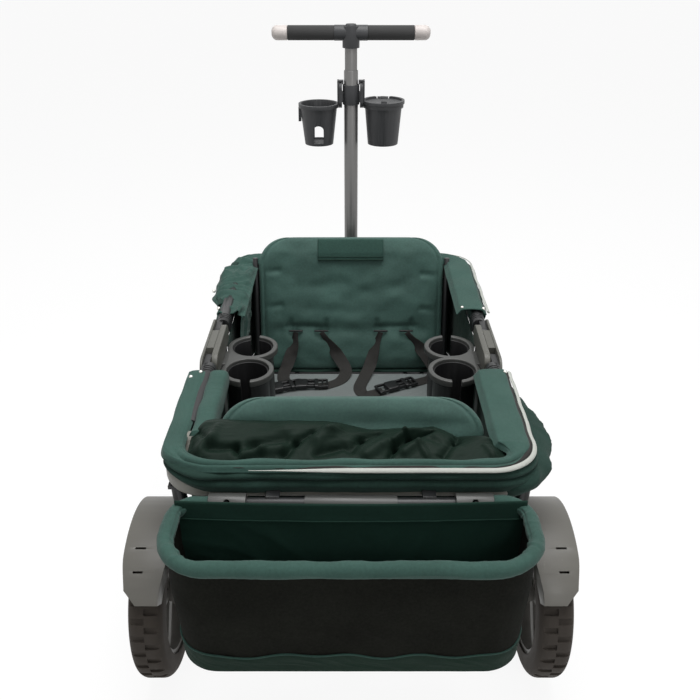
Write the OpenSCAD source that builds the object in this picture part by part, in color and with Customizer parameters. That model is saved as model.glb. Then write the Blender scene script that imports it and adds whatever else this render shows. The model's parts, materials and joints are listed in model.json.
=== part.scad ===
// Folding stroller wagon with a padded tub, a rear basket, swivelling front wheels and a telescopic T handle.
// +Y runs from the basket end to the handle end, +Z is up, and the floor is at Z = 0.

/* [Tub] */
// Reach of the basket behind the tub
basket_reach = 169; // [165:1:185]
// From the rear end of the tub to its fold pivots
rear_end_l = 97; // [96:1:110]
// From the front fold pivots to the front end of the tub
front_end_l = 140; // [136:1:155]
// Length of each folding rail and floor board between its pivots
link_l = 255; // [240:1:280]
// Distance between the two middle fold pivots
centre_gap = 110; // [106:1:130]
// Distance from the middle plane to the centre of a side rail
rail_x = 255; // [252:1:262]
// Height of the fold pivots of the rails
rim_z = 450; // [440:1:470]
// Height of the fold pivots of the floor
floor_z = 211; // [205:1:225]
// Width of a side rail
rail_w = 24; // [20:1:28]
// Height of a side rail
rail_h = 36; // [34:1:40]

/* [Rear wheels] */
// Outside diameter of the rear tyres
rear_wheel_d = 287; // [276:1:295]
// Distance between the middle planes of the rear tyres
rear_track = 648; // [646:1:670]
// Width of the rear tyres
rear_tyre_w = 55; // [48:1:57]
// How far the rear axle lies inside the rear end of the tub
rear_axle_in = 92; // [86:1:100]
// Number of tread blocks in each row
tread_count = 30; // [24:1:36]
// Radius of the rear axle
axle_r = 6; // [5:0.5:7]

/* [Front casters] */
// Outside diameter of the front tyres
front_wheel_d = 180; // [170:1:184]
// Width of the front tyres
front_tyre_w = 40; // [34:1:42]
// Distance from the middle plane to a swivel axis
caster_x = 268; // [262:1:276]
// How far the swivel axes lie inside the front end of the tub
caster_in = 81; // [75:1:88]
// Distance from the swivel axis back to the wheel axle
caster_trail = 30; // [24:1:36]

/* [Handle] */
// Gap between the front end of the tub and the axis of the pole
handle_gap = 39; // [36:1:60]
// Height of the centre line of the T bar
handle_z = 957; // [940:1:1000]
// Height of the pivot of the pole
handle_pivot_z = 262; // [255:1:275]
// Outside diameter of the lower pole
pole_d = 31; // [30:0.5:34]
// Outside diameter of the telescopic upper tube
tube_d = 27; // [25:0.5:28]
// Width over the end caps of the T bar
bar_w = 341; // [320:1:380]
// Outside diameter of the foam grips
grip_d = 30.5; // [28:0.5:33]

/* [Handle cups] */
// Radius of the rim of the handle cups
cup_rim_r = 45; // [42:0.5:50]
// Radius of the foot of the handle cups
cup_foot_r = 31; // [28:0.5:36]
// Depth of the handle cups
cup_h = 98; // [85:1:110]

/* [Tub cup holders] */
// Outside radius of a cup ring
ring_r = 48.8; // [47:0.1:50]
// Inside radius of a cup ring
ring_hole_r = 39.5; // [36:0.5:41]
// Distance between the two rings of a holder
ring_pitch = 92; // [88:1:96]
// Distance from the middle plane to the ring centres
ring_x = 193; // [188:1:194]
// Depth of the sleeves under the rings
sleeve_depth = 112; // [90:1:125]

/* [Basket] */
// Width of the basket over its padded rim
basket_w = 534; // [500:1:545]
// Diameter of the padded rim
rim_d = 26; // [24:0.5:30]
// Depth of the bag under the rim
bag_h = 200; // [180:1:210]

/* [Seats] */
// Width of the seat back pads
seat_w = 428; // [400:1:430]
// Thickness of the seat back pads
seat_t = 32; // [28:1:33]
// Height of the front seat back along its slope
front_seat_h = 315; // [300:1:325]
// Height of the rear seat back along its slope
rear_seat_h = 295; // [280:1:300]

/* [Hidden] */
$fn = 64;
overrun = 1;
seat_gap = 0.3;
fit_gap = 0.05;
// Places along the wagon
overall_l = basket_reach + rear_end_l + 2 * link_l + centre_gap + front_end_l + handle_gap + cup_rim_r;
y_rear = basket_reach - overall_l / 2;
rear_pivot_y = y_rear + rear_end_l;
mid_a_y = rear_pivot_y + link_l;
mid_b_y = mid_a_y + centre_gap;
y_mid = (mid_a_y + mid_b_y) / 2;
front_pivot_y = mid_b_y + link_l;
y_front = front_pivot_y + front_end_l;
handle_y = y_front + handle_gap;
// Fold joints of the rails: a stub plate and an eye lie side by side on a pin
eye_r = 15;
pin_r = 5;
lap_gap = 0.5;
bar_start = 32;
stub_x0 = rail_x - rail_w / 2;
stub_t = rail_w / 2 - lap_gap;
eye_x1 = rail_x + rail_w / 2;
pin_head_r = 8;
pin_head_t = 2.5;
// End rails
end_w = 26;
end_h = 34;
end_out = 15;
end_drop = 22;
end_corner_r = 50;
arm_gap = 29;
arm_foot_l = 20;
stub_h = 28;
end_x = rail_x + end_out;
end_z = rim_z - end_drop;
// Legs, sills and axle
leg_r = 11;
leg_out = -4;
leg_x = end_x + leg_out;
leg_top_in = 46;
saddle_l = 28;
saddle_h = 23;
saddle_gap = 0.2;
sill_r = 8;
sill_back = 28;
sill_drop = 2;
axle_y = y_rear + rear_axle_in;
axle_z = rear_wheel_d / 2;
axle_boss_r = 16;
beam_r = 12.5;
axle_cap_r = 13;
axle_cap_t = 4;
spacer_r = 10;
leg_in_x = leg_x - leg_r;
leg_out_x = leg_x + leg_r;
wheel_x = rear_track / 2;
tyre_in_x = wheel_x - rear_tyre_w / 2;
tyre_out_x = wheel_x + rear_tyre_w / 2;
// Fenders
fender_clear = 10.5;
fender_t = 4;
fender_skirt = 17;
fender_side_gap = 2.5;
fender_out_gap = 3.5;
fender_from = 145;
fender_sweep = 95;
fender_slot_w = 3.5;
fender_slot_l = 17;
fender_slot_angles = [112, 126];
fender_clip = 16;
fender_stay_r = 7;
fender_stay_angle = 100;
// Rear tyres and hubs
tread_depth = 4;
tread_gap_share = 0.36;
tyre_shoulder_r = 16;
tyre_side_share = 0.74;
rim_lip = 4;
rim_wall = 7;
hub_r = 21;
spoke_count = 5;
spoke_w = 20;
spoke_t_share = 0.42;
// Basket sockets and rim
socket_back = 20;
socket_drop = 30;
socket_r = 15;
socket_in = 115;
socket_l = 54;
socket_x0 = basket_w / 2 - socket_in;
socket_x1 = socket_x0 + socket_l;
socket_pin_l = 28;
socket_hole_r = 4.5;
cross_tube_r = 9;
cross_in = 24;
grip_sleeve_r = 11.5;
grip_sleeve_l = 134;
lug_w = 20;
lug_x = 104;
lug_h = 7;
rim_tube_r = 8;
rim_front_corner_r = 65;
rim_rear_corner_r = 34;
bag_wall = 2.5;
bag_back_gap = 17.5;
bag_corner_r = 62;
bag_back_corner_r = 20;
hinge_y = y_rear - socket_back;
hinge_z = rim_z - socket_drop;
rim_x = basket_w / 2 - rim_d / 2;
rim_front_y = -overall_l / 2 + rim_d / 2;
bag_top_z = hinge_z - rim_tube_r - overrun;
// Brake pedal
pedal_w = 90;
pedal_hub_wall = 5;
pedal_reach = 66;
pedal_pad_l = 26;
pedal_t = 6;
pedal_rib_count = 5;
pedal_rib_h = 1.5;
// Floor boards and mats
board_hw = 240;
board_up = 6.5;
board_down = 8;
board_gap = 12;
mat_t = 10;
mat_gap = 17;
mat_hw = 236;
fold_line_gap = 1;
knuckle_x = 150;
knuckle_w = 30;
knuckle_gap = 0.4;
knuckle_r = 6;
ear_w = 9;
floor_pin_r = 3;
open_pin_gap = 0.4;
board_top = floor_z + board_up;
board_bottom = floor_z - board_down;
// Hinge housings in the middle of the side rails
plate_r = 20;
shell_gap = 0.6;
shell_t = 4.4;
shell_r = 22;
shell_reach = 20;
shell_rib_r = 14;
shell_rib_t = 1.8;
web_clear = 4;
button_r = 8;
button_t = 6;
button_proud = 3;
post_in = 3.5;
post_hw = 16;
post_foot_t = 8;
post_foot_lap = 15;
rail_rib_count = 3;
rail_rib_pitch = 7;
rail_rib_t = 3;
rail_rib_h = 1.4;
shell_x0 = eye_x1 + shell_gap;
rib_start = shell_reach + shell_r + 2 * overrun;
// Cup rings and sleeves
ring_t = 12;
ring_slot_w = 17;
ring_tab_hw = 26;
sleeve_wall = 2.6;
sleeve_gap = 0.3;
sleeve_lip_r = 43;
sleeve_lip_t = 7;
ring_z = rim_z - plate_r;
// Side and end walls of the tub
wall_t = 3;
wall_lift = 9;
wall_clear = 16;
wall_end_in = end_w / 2 - wall_t / 2;
wall_corner_r = 36;
wall_bottom = floor_z + wall_lift;
// Front legs, sill and caster housings
caster_y = y_front - caster_in;
caster_housing_r = 16;
caster_housing_h = 44;
stem_r = 8;
crown_t = 12;
crown_clear = 6;
crown_w = 30;
fork_gap = 3;
fork_t = 6;
fork_eye_r = 13;
front_axle_r = 6;
front_hub_r = 18;
front_rim_wall = 6;
front_tread_depth = 2.5;
front_groove_w = 3;
front_groove_places = [-0.25, 0, 0.25];
wheel_side_gap = 1;
beam_w = 24;
beam_h = 18;
caster_base_z = front_wheel_d + crown_clear + crown_t + seat_gap;
front_leg_out = -2;
front_leg_top_in = 65;
front_leg_sink = 5;
// Handle bracket
bracket_gap = 0.5;
bracket_t = 6;
bracket_pin_r = 6;
bracket_eye_r = 16;
bracket_h = 14;
bracket_rise_in = 32;
boss_hw = 21.5;
// Pole, collar and T bar
pole_top_in = 77;
collar_top_in = 107;
pole_top_z = handle_z - pole_top_in;
collar_top_z = handle_z - collar_top_in;
collar_h = 42;
collar_wall = 3;
hook_in = 4.5;
hook_t = 7;
hook_h = 50;
hook_rise = 6;
hook_hw = 14;
hook_neck_h = 22;
hook_neck_hw = 9;
tube_wall = 1.5;
tube_in_l = 260;
bar_r = 7.5;
stem_r_out = 18.5;
stem_drop = 30;
stem_rise = 14;
arm_r = 16;
arm_hw = 36;
cap_l = 34.5;
cap_nose_r = 12;
cap_step = 1;
button_well = 5.5;
top_button_r = 13;
top_button_gap = 0.3;
top_button_rise = 4;
top_button_skirt = 2.5;
// Handle cups
cup_wall = 2.4;
cup_lip_h = 8;
cup_lip_in = 3;
cup_floor_t = 3;
window_w = 22;
window_h = 44;
window_sill = 7;
cup_rib_w = 12;
cup_rib_h = 34;
clip_t = 3;
clip_hw = 11;
clip_lip_t = 3;
clip_lip_hw = 7;
clip_lip_h = 5;
lid_t = 3;
lid_dish = 4;
lid_tab_w = 12;
lid_tab_l = 6;
lid_ear_r = 3.5;
lid_pin_r = 1.5;
lid_ear_w = 8;
lid_ear_in = 4.5;
hook_x0 = pole_d / 2 + hook_in;
hook_x1 = hook_x0 + hook_t;
cup_x = hook_x1 + seat_gap + cup_rim_r;
cup_top_in = 40;
cup_top_z = collar_top_z - cup_top_in;
// Seat backs, apron and covers
seat_corner_r = 105;
seat_foot_r = 30;
seat_edge_share = 0.3;
seat_rings = 16;
seat_points = 28;
seat_square_share = 0.3;
front_seat_lean = 11.5;
front_seat_in = 12;
front_seat_lift = sill_r - sill_drop + seat_gap;
rear_seat_lean = 15;
rear_seat_back = 18;
rear_seat_lift = sill_r - sill_drop + seat_gap + seat_t / 2 * seat_edge_share * sin(rear_seat_lean);
apron_hw = 228;
apron_top_in = 16;
apron_top_up = 38;
apron_top_z = rim_z + apron_top_up;
apron_foot_in = 54;
apron_foot_up = 13;
apron_foot_z = rim_z + apron_foot_up;
apron_hump = 12;
apron_fold = 5;
apron_fold_count = 3.5;
apron_t = 4;
cover_in = 30;
cover_out = 19;
cover_crown = 24;
cover_hem = 12;
cover_hem_t = 3.5;
cover_fold = 2;
cover_fold_count = 6;
cover_start = 31;
flap_in = 34;
flap_out = 34;
flap_top = 40;
flap_hem_in = 6;
flap_hem_out = 2;
flap_t = 4;
flap_fold = 3;
flap_fold_count = 2.5;
flap_rings = 14;
flap_start = 46;
flap_end = 68;
// Seat posts and harness
post_r = 6;
post_gap = 8;
post_x = seat_w / 2 + post_gap;
post_foot_y = 4;
post_top_share = 0.85;
strap_w = 25;
strap_t = 2;
strap_outer_x = 128;
strap_inner_x = 84;
strap_slot_share = 0.22;
strap_floor_in = 70;
strap_spread = 26;
strap_steps = 8;
buckle_l = 62;
buckle_w = 34;
buckle_t = 12;
buckle_waist = 5;
buckle_bar_w = 6;

// Both sides of the middle plane
module pair() {
    children();
    mirror([1, 0, 0]) children();
}

// The given end, and the same thing turned to the front end of the tub
module at_rear() { translate([0, rear_pivot_y, 0]) children(); }
module at_front() { translate([0, front_pivot_y, 0]) mirror([0, 1, 0]) children(); }

// Round bar between two points
module rod(a, b, r) {
    v = b - a;
    translate(a) rotate([0, acos(v[2] / norm(v)), atan2(v[1], v[0])]) cylinder(r = r, h = norm(v));
}

// Round bar along X
module x_rod(x0, x1, y, z, r) {
    translate([x0, y, z]) rotate([0, 90, 0]) cylinder(r = r, h = x1 - x0);
}

// Plate whose outline is drawn in Y and Z
module side_plate(x, t) {
    translate([x, 0, 0]) rotate([90, 0, 90]) linear_extrude(t) children();
}

// Bar with round ends between two points of an outline
module link_outline(p, q, r) {
    d = q - p;
    translate(p) circle(r);
    translate(q) circle(r);
    translate(p) rotate(atan2(d[1], d[0])) translate([0, fit_gap - r]) square([norm(d), 2 * (r - fit_gap)]);
}

// Upright outline with a round top and bottom
module oval_outline(w, h) {
    square([w, h - w], center = true);
    for (s = [-1, 1]) translate([0, s * (h - w) / 2]) circle(w / 2);
}

// Rectangle with round corners, with one radius at each end
module round_outline(hw, y0, y1, r0, r1) {
    translate([-hw, y0 + r0]) square([2 * hw, y1 - y0 - r0 - r1]);
    translate([-hw + r0, y0]) square([2 * (hw - r0), r0 + overrun]);
    translate([-hw + r1, y1 - r1 - overrun]) square([2 * (hw - r1), r1 + overrun]);
    for (s = [-1, 1]) {
        translate([s * (hw - r0), y0 + r0]) circle(r0);
        translate([s * (hw - r1), y1 - r1]) circle(r1);
    }
}

// Closed solid through rings of points, with flat ends
module skin(rings) {
    n = len(rings[0]);
    last = (len(rings) - 1) * n;
    sides = [for (i = [0 : len(rings) - 2], j = [0 : n - 1])
        let (a = i * n + j, b = i * n + (j + 1) % n)
        each [[a, b, b + n], [a, b + n, a + n]]];
    caps = [[for (j = [n - 1 : -1 : 0]) j], [for (j = [0 : n - 1]) last + j]];
    polyhedron(points = [for (r = rings) each r], faces = concat(sides, caps));
}

// Rail round one end of the tub, with a stub plate and a pin for each side rail. Y = 0 is the pivot.
module end_rail(end_l) {
    e = end_l - end_w / 2;
    straight = end_x - end_corner_r;
    translate([0, -e, end_z]) rotate([90, 0, 90])
        translate([0, 0, -straight]) linear_extrude(2 * straight) oval_outline(end_w, end_h);
    pair() {
        translate([straight, end_corner_r - e, end_z]) rotate(-90) rotate_extrude(angle = 90)
            translate([end_corner_r, 0]) oval_outline(end_w, end_h);
        translate([end_x, -arm_gap, end_z]) rotate([90, 0, 0])
            linear_extrude(e - end_corner_r - arm_gap + overrun / 2) oval_outline(end_w, end_h);
        translate([stub_x0, -arm_gap - arm_foot_l, end_z - stub_h / 2])
            cube([end_x - stub_x0, arm_foot_l, stub_h]);
        side_plate(stub_x0, stub_t) {
            translate([0, rim_z]) circle(eye_r);
            polygon([[-arm_gap - arm_foot_l, end_z - stub_h / 2], [-arm_gap - arm_foot_l, end_z + stub_h / 2],
                [overrun - cover_start, end_z + end_h / 2], [0, rim_z + eye_r], [0, rim_z - eye_r]]);
        }
        x_rod(stub_x0, eye_x1 + lap_gap + pin_head_t, 0, rim_z, pin_r);
        x_rod(eye_x1 + lap_gap, eye_x1 + lap_gap + pin_head_t, 0, rim_z, pin_head_r);
    }
}

module rear_end_rail() { color("#8a8a82") at_rear() end_rail(rear_end_l); }
module front_end_rail() { color("#8a8a82") at_front() end_rail(front_end_l); }

// Flat pad on top of a leg, under an end rail
module saddle(y) {
    translate([end_x - end_w / 2, y - saddle_l / 2, end_z - saddle_h])
        cube([leg_out_x + overrun - end_x + end_w / 2, saddle_l, saddle_h - end_h / 2 - saddle_gap]);
}

// Ears and pin that carry a floor board, with the bar's outline drawn at Y = 0 and the board towards +Y
module floor_ears(reach, pin_gap) {
    for (s = [-1, 1]) translate([s * knuckle_x, 0, floor_z]) {
        for (t = [-1, 1]) translate([t * (knuckle_w / 2 + knuckle_gap + ear_w / 2), 0, 0]) {
            rotate([0, 90, 0]) cylinder(r = knuckle_r, h = ear_w, center = true);
            translate([-ear_w / 2, -reach, -knuckle_r]) cube([ear_w, reach, knuckle_r]);
        }
        rotate([0, 90, 0])
            cylinder(r = floor_pin_r - pin_gap, h = knuckle_w + 2 * (knuckle_gap + ear_w), center = true);
    }
}

// Eyes on the edge of a floor board, round the pins of floor_ears
module floor_eyes(y, dir) {
    for (s = [-1, 1]) translate([s * knuckle_x, y, floor_z]) {
        rotate([0, 90, 0]) cylinder(r = knuckle_r, h = knuckle_w, center = true);
        translate([-knuckle_w / 2, min(0, dir * (board_gap + overrun)), -knuckle_r])
            cube([knuckle_w, board_gap + overrun, knuckle_r]);
    }
}

module floor_eye_bores(y) {
    for (s = [-1, 1]) translate([s * knuckle_x, y, floor_z]) rotate([0, 90, 0])
        cylinder(r = floor_pin_r + fit_gap, h = knuckle_w + 2 * overrun, center = true);
}

module rear_legs() {
    top = [leg_x, y_rear + leg_top_in, end_z - (saddle_h + end_h / 2 + saddle_gap) / 2];
    foot = [leg_x, axle_y, axle_z];
    color("#2b2c2c") difference() {
        union() {
            pair() {
                saddle(top[1]);
                rod(foot, top, leg_r);
                x_rod(leg_in_x - overrun, leg_out_x + overrun, axle_y, axle_z, axle_boss_r);
                x_rod(leg_x, tyre_in_x - fender_side_gap - fender_t - seat_gap / 2,
                    stay_y(), stay_z(), fender_stay_r);
            }
            x_rod(-leg_x, leg_x, rear_pivot_y - sill_back, floor_z - sill_drop, sill_r);
            at_rear() floor_ears(sill_back, 0);
        }
        x_rod(-leg_out_x - 2 * overrun, leg_out_x + 2 * overrun, axle_y, axle_z, axle_r + fit_gap);
    }
}

module rear_axle() {
    color("#3b3c3c") {
        x_rod(-tyre_out_x - axle_cap_t, tyre_out_x + axle_cap_t, axle_y, axle_z, axle_r);
        x_rod(overrun + seat_gap - leg_in_x, leg_in_x - overrun - seat_gap, axle_y, axle_z, beam_r);
        pair() {
            x_rod(leg_out_x + overrun + seat_gap, tyre_in_x - seat_gap, axle_y, axle_z, spacer_r);
            x_rod(tyre_out_x + seat_gap, tyre_out_x + axle_cap_t, axle_y, axle_z, axle_cap_r);
        }
    }
}

module rear_cross_tube() {
    color("#26292a") {
        x_rod(-socket_x0 - cross_in, socket_x0 + cross_in, hinge_y, hinge_z, cross_tube_r);
        pair() translate([lug_x, hinge_y, end_z - lug_h / 2]) cube([lug_w, socket_back, lug_h]);
    }
}

module basket_sockets() {
    color("#85857d") {
        pair() difference() {
            x_rod(socket_x0, socket_x1, hinge_y, hinge_z, socket_r);
            x_rod(socket_x0 - overrun, socket_x0 + cross_in, hinge_y, hinge_z, cross_tube_r + fit_gap);
            x_rod(socket_x0 + cross_in - overrun, socket_x1 + overrun, hinge_y, hinge_z, rim_tube_r + fit_gap);
            translate([(socket_x0 + socket_x1) / 2, hinge_y, hinge_z])
                rotate([45, 0, 0]) cylinder(r = socket_hole_r, h = socket_r + overrun);
        }
        difference() {
            x_rod(-grip_sleeve_l / 2, grip_sleeve_l / 2, hinge_y, hinge_z, grip_sleeve_r);
            x_rod(-grip_sleeve_l / 2 - overrun, grip_sleeve_l / 2 + overrun, hinge_y, hinge_z,
                cross_tube_r + fit_gap);
        }
    }
}

// Radius and place of the stay between a leg and its fender
function fender_r() = rear_wheel_d / 2 + fender_clear;
function stay_y() = axle_y + (fender_r() - fender_skirt / 2) * cos(fender_stay_angle);
function stay_z() = axle_z + (fender_r() - fender_skirt / 2) * sin(fender_stay_angle);

// Mudguard over one rear wheel: a curved top with a skirt on each side, two slots and a clipped corner
module fenders() {
    x0 = tyre_in_x - fender_side_gap - fender_t;
    x1 = tyre_out_x + fender_out_gap + fender_t;
    color("#6d6c66") pair() difference() {
        translate([0, axle_y, axle_z]) rotate([90, 0, 90])
            rotate(fender_from - fender_sweep) rotate_extrude(angle = fender_sweep)
                polygon([[fender_r() - fender_skirt, x0], [fender_r() + fender_t, x0],
                    [fender_r() + fender_t, x1], [fender_r() - fender_skirt, x1],
                    [fender_r() - fender_skirt, x1 - fender_t], [fender_r(), x1 - fender_t],
                    [fender_r(), x0 + fender_t], [fender_r() - fender_skirt, x0 + fender_t]]);
        for (a = fender_slot_angles) translate([x1 - 2 * fender_slot_l, axle_y, axle_z]) rotate([a, 0, 0])
            translate([0, fender_r() - overrun, 0]) cube([fender_slot_l, fender_t + 2 * overrun, fender_slot_w]);
        translate([x1, axle_y, axle_z]) rotate([fender_from, 0, 0])
            translate([0, fender_r() + fender_t, 0]) rotate([0, 45, 0])
                translate([-fender_clip, -fender_skirt - fender_t - overrun, -fender_clip])
                    cube([2 * fender_clip, fender_skirt + fender_t + 2 * overrun, 2 * fender_clip]);
    }
}

// Padded seat back: rings from foot to top, drawn in at its edges, with a crown on both faces
function corner_in(d, r) = d >= r ? 0 : r - sqrt(max(0, r * r - (r - d) * (r - d)));
function seat_ring(h, z) =
    let (edge = min(z, h - z),
        hw = seat_w / 2 - corner_in(h - z, seat_corner_r) - corner_in(z, seat_foot_r),
        share = sqrt(min(1, edge / seat_t)),
        ht = seat_t / 2 * (seat_edge_share + (1 - seat_edge_share) * share))
    [for (j = [0 : seat_points - 1]) let (a = -360 * j / seat_points)
        [hw * sign(cos(a)) * pow(abs(cos(a)), seat_square_share), ht * sin(a), z]];
module seat_pad(h) {
    skin([for (i = [0 : seat_rings]) seat_ring(h, h * (1 - cos(180 * i / seat_rings)) / 2)]);
}

module rear_seat_back() {
    color("#2a4a40") translate([0, rear_pivot_y - rear_seat_back - seat_t / 2, floor_z + rear_seat_lift])
        rotate([-rear_seat_lean, 0, 0]) seat_pad(rear_seat_h);
}

module front_seat_back() {
    color("#2a4a40") translate([0, front_pivot_y + front_seat_in + seat_t / 2, floor_z + front_seat_lift])
        rotate([-front_seat_lean, 0, 0]) seat_pad(front_seat_h);
}

// Loose cloth that falls from the rear seat back to the rear rim, in slanting folds
function apron_point(u, v, drop) =
    [apron_hw * u, rear_pivot_y + apron_top_in - (apron_top_in + apron_foot_in) * v,
        apron_top_z + (apron_foot_z - apron_top_z) * v + apron_hump * sin(180 * v) * (1 - u * u * u * u)
        + apron_fold * sin(180 * v) * sin(360 * apron_fold_count * (u / 2 + v / 4)) - drop];
module rear_apron() {
    color("#1c2522") skin([for (i = [-14 : 14]) let (u = i / 14)
        concat([for (k = [0 : 8]) apron_point(u, k / 8, 0)], [for (k = [8 : -1 : 0]) apron_point(u, k / 8, apron_t)])]);
}

// Centre line round one end of the tub: place and outward direction. Y = 0 is the pivot.
function end_path(xc, e, r) = concat(
    [[-xc, -cover_start, -1, 0]],
    [for (k = [0 : 6]) let (a = 180 + 15 * k) [r - xc + r * cos(a), r - e + r * sin(a), cos(a), sin(a)]],
    [for (k = [1 : 11]) [(xc - r) * (k - 6) / 6, -e, 0, -1]],
    [for (k = [0 : 6]) let (a = 270 + 15 * k) [xc - r + r * cos(a), r - e + r * sin(a), cos(a), sin(a)]],
    [[xc, -cover_start, 1, 0]]);
// Section of the cover on an end rail: reach from the rail's centre line, and height
function cover_section(wave) = let (base = end_z + end_h / 2 + seat_gap) concat(
    [for (k = [0 : 8]) let (a = 180 - 22.5 * k)
        [(k < 4 ? cover_in : cover_out) * cos(a), base + cover_hem_t + (cover_crown + wave) * sin(a)]],
    [[cover_out + wave, base - cover_hem], [cover_out + wave - cover_hem_t, base - cover_hem],
        [cover_out - cover_hem_t, base], [-cover_in, base]]);
module rim_cover(end_l) {
    path = end_path(end_x, end_l - end_w / 2, end_corner_r);
    skin([for (i = [0 : len(path) - 1]) let (p = path[i])
        [for (q = cover_section(cover_fold * sin(360 * cover_fold_count * i / len(path))))
            [p[0] + p[2] * q[0], p[1] + p[3] * q[0], q[1]]]]);
}
module rear_rim_cover() { color("#2a4a40") at_rear() rim_cover(rear_end_l); }
module front_rim_cover() { color("#2a4a40") at_front() rim_cover(front_end_l); }

// Fabric wall round one end of the tub
module end_wall(end_l) {
    hw = stub_x0 + wall_t;
    y0 = wall_end_in - end_l;
    translate([0, 0, wall_bottom]) linear_extrude(end_z - end_h / 2 - seat_gap - wall_bottom) difference() {
        round_outline(hw, y0, wall_corner_r, wall_corner_r, wall_corner_r);
        round_outline(stub_x0, y0 + wall_t, 2 * wall_corner_r, wall_corner_r - wall_t, wall_corner_r);
        translate([-hw - overrun, -wall_clear]) square([2 * (hw + overrun), 4 * wall_corner_r]);
    }
}
module rear_end_wall() { color("#20322c") at_rear() end_wall(rear_end_l); }
module front_end_wall() { color("#20322c") at_front() end_wall(front_end_l); }

module side_walls(y0, y1) {
    pair() translate([stub_x0, y0, wall_bottom]) cube([wall_t, y1 - y0, ring_z - seat_gap - wall_bottom]);
}
module rear_side_walls() { color("#20322c") side_walls(rear_pivot_y + wall_clear, y_mid - ring_tab_hw - seat_gap); }
module front_side_walls() { color("#20322c") side_walls(y_mid + ring_tab_hw + seat_gap, front_pivot_y - wall_clear); }

module brake_pedal() {
    r = beam_r + fit_gap;
    color("#33302e") difference() {
        union() {
            x_rod(-pedal_w / 2, pedal_w / 2, axle_y, axle_z, r + pedal_hub_wall);
            translate([-pedal_w / 2, axle_y - pedal_reach, axle_z - pedal_t / 2])
                cube([pedal_w, pedal_reach, pedal_t]);
            for (k = [0 : pedal_rib_count - 1])
                translate([-pedal_w / 2, axle_y - pedal_reach + pedal_pad_l * k / pedal_rib_count, axle_z])
                    cube([pedal_w, pedal_t / 2, pedal_t / 2 + pedal_rib_h]);
        }
        x_rod(-pedal_w / 2 - overrun, pedal_w / 2 + overrun, axle_y, axle_z, r);
    }
}

// Basket rim: a C in plan, from one socket round the bag to the other
module rim_run(r_out, r_in, end_x0) {
    module section() {
        difference() {
            circle(r_out);
            if (r_in > 0) circle(r_in);
        }
    }
    f = rim_front_corner_r;
    b = rim_rear_corner_r;
    translate([f - rim_x, rim_front_y, hinge_z]) rotate([90, 0, 90]) linear_extrude(2 * (rim_x - f)) section();
    pair() {
        translate([rim_x - f, rim_front_y + f, hinge_z]) rotate(-90) rotate_extrude(angle = 90)
            translate([f, 0]) section();
        translate([rim_x, hinge_y - b, hinge_z]) rotate([90, 0, 0])
            linear_extrude(hinge_y - b - rim_front_y - f) section();
        translate([rim_x - b, hinge_y - b, hinge_z]) rotate_extrude(angle = 90) translate([b, 0]) section();
        translate([end_x0, hinge_y, hinge_z]) rotate([90, 0, 90]) linear_extrude(rim_x - b - end_x0) section();
    }
}

module basket_tube() { color("#26292a") rim_run(rim_tube_r, 0, socket_x1 - socket_pin_l + seat_gap * 2); }

// Bag of the basket: a padded sleeve on the rim and an open box of fabric under it
module basket_bag() {
    back = hinge_y - bag_back_gap;
    color("#20322c") {
        rim_run(rim_d / 2, rim_tube_r + fit_gap * 2, socket_x1 + overrun);
        translate([0, 0, hinge_z - bag_h]) difference() {
            linear_extrude(bag_h - rim_tube_r - overrun)
                round_outline(rim_x + bag_wall / 2, rim_front_y - bag_wall / 2, back,
                    bag_corner_r, bag_back_corner_r);
            translate([0, 0, bag_wall]) linear_extrude(bag_h)
                round_outline(rim_x - bag_wall / 2, rim_front_y + bag_wall / 2, back - bag_wall,
                    bag_corner_r - bag_wall, bag_back_corner_r - bag_wall);
        }
    }
}

// Rear tyre with two rows of staggered tread blocks, at the origin on the X axis
module rear_tyre() {
    r = rear_wheel_d / 2;
    hw = rear_tyre_w / 2;
    in_r = r * tyre_side_share;
    pitch = 360 / tread_count;
    module row(turn) {
        circle(r - tread_depth);
        for (k = [0 : tread_count - 1]) rotate((k + turn) * pitch - 90)
            translate([0, -PI * r / tread_count * (1 - tread_gap_share)])
                square([r, 2 * PI * r / tread_count * (1 - tread_gap_share)]);
    }
    rotate([90, 0, 90]) difference() {
        intersection() {
            union() {
                translate([0, 0, -hw]) linear_extrude(hw + fit_gap) row(0);
                linear_extrude(hw) row(0.5);
            }
            rotate_extrude() {
                translate([0, -hw + tyre_shoulder_r]) square([r, 2 * (hw - tyre_shoulder_r)]);
                translate([0, -hw]) square([r - tyre_shoulder_r, 2 * hw]);
                for (s = [-1, 1]) translate([r - tyre_shoulder_r, s * (hw - tyre_shoulder_r)]) circle(tyre_shoulder_r);
            }
        }
        translate([0, 0, -hw - overrun]) cylinder(r = in_r, h = 2 * (hw + overrun));
    }
}

// Spoked hub that carries a tyre, at the origin on the X axis
module wheel_hub(out_r, hw, hub, wall, bore) {
    rotate([90, 0, 90]) difference() {
        union() {
            rotate_extrude() translate([out_r - wall, -hw + rim_lip]) square([wall, 2 * (hw - rim_lip)]);
            translate([0, 0, -hw]) cylinder(r = hub, h = 2 * hw);
            for (k = [0 : spoke_count - 1]) rotate(90 + k * 360 / spoke_count)
                translate([0, -spoke_w / 2, -hw * spoke_t_share])
                    cube([out_r - wall / 2, spoke_w, 2 * hw * spoke_t_share]);
        }
        translate([0, 0, -hw - overrun]) cylinder(r = bore, h = 2 * (hw + overrun));
    }
}

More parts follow.
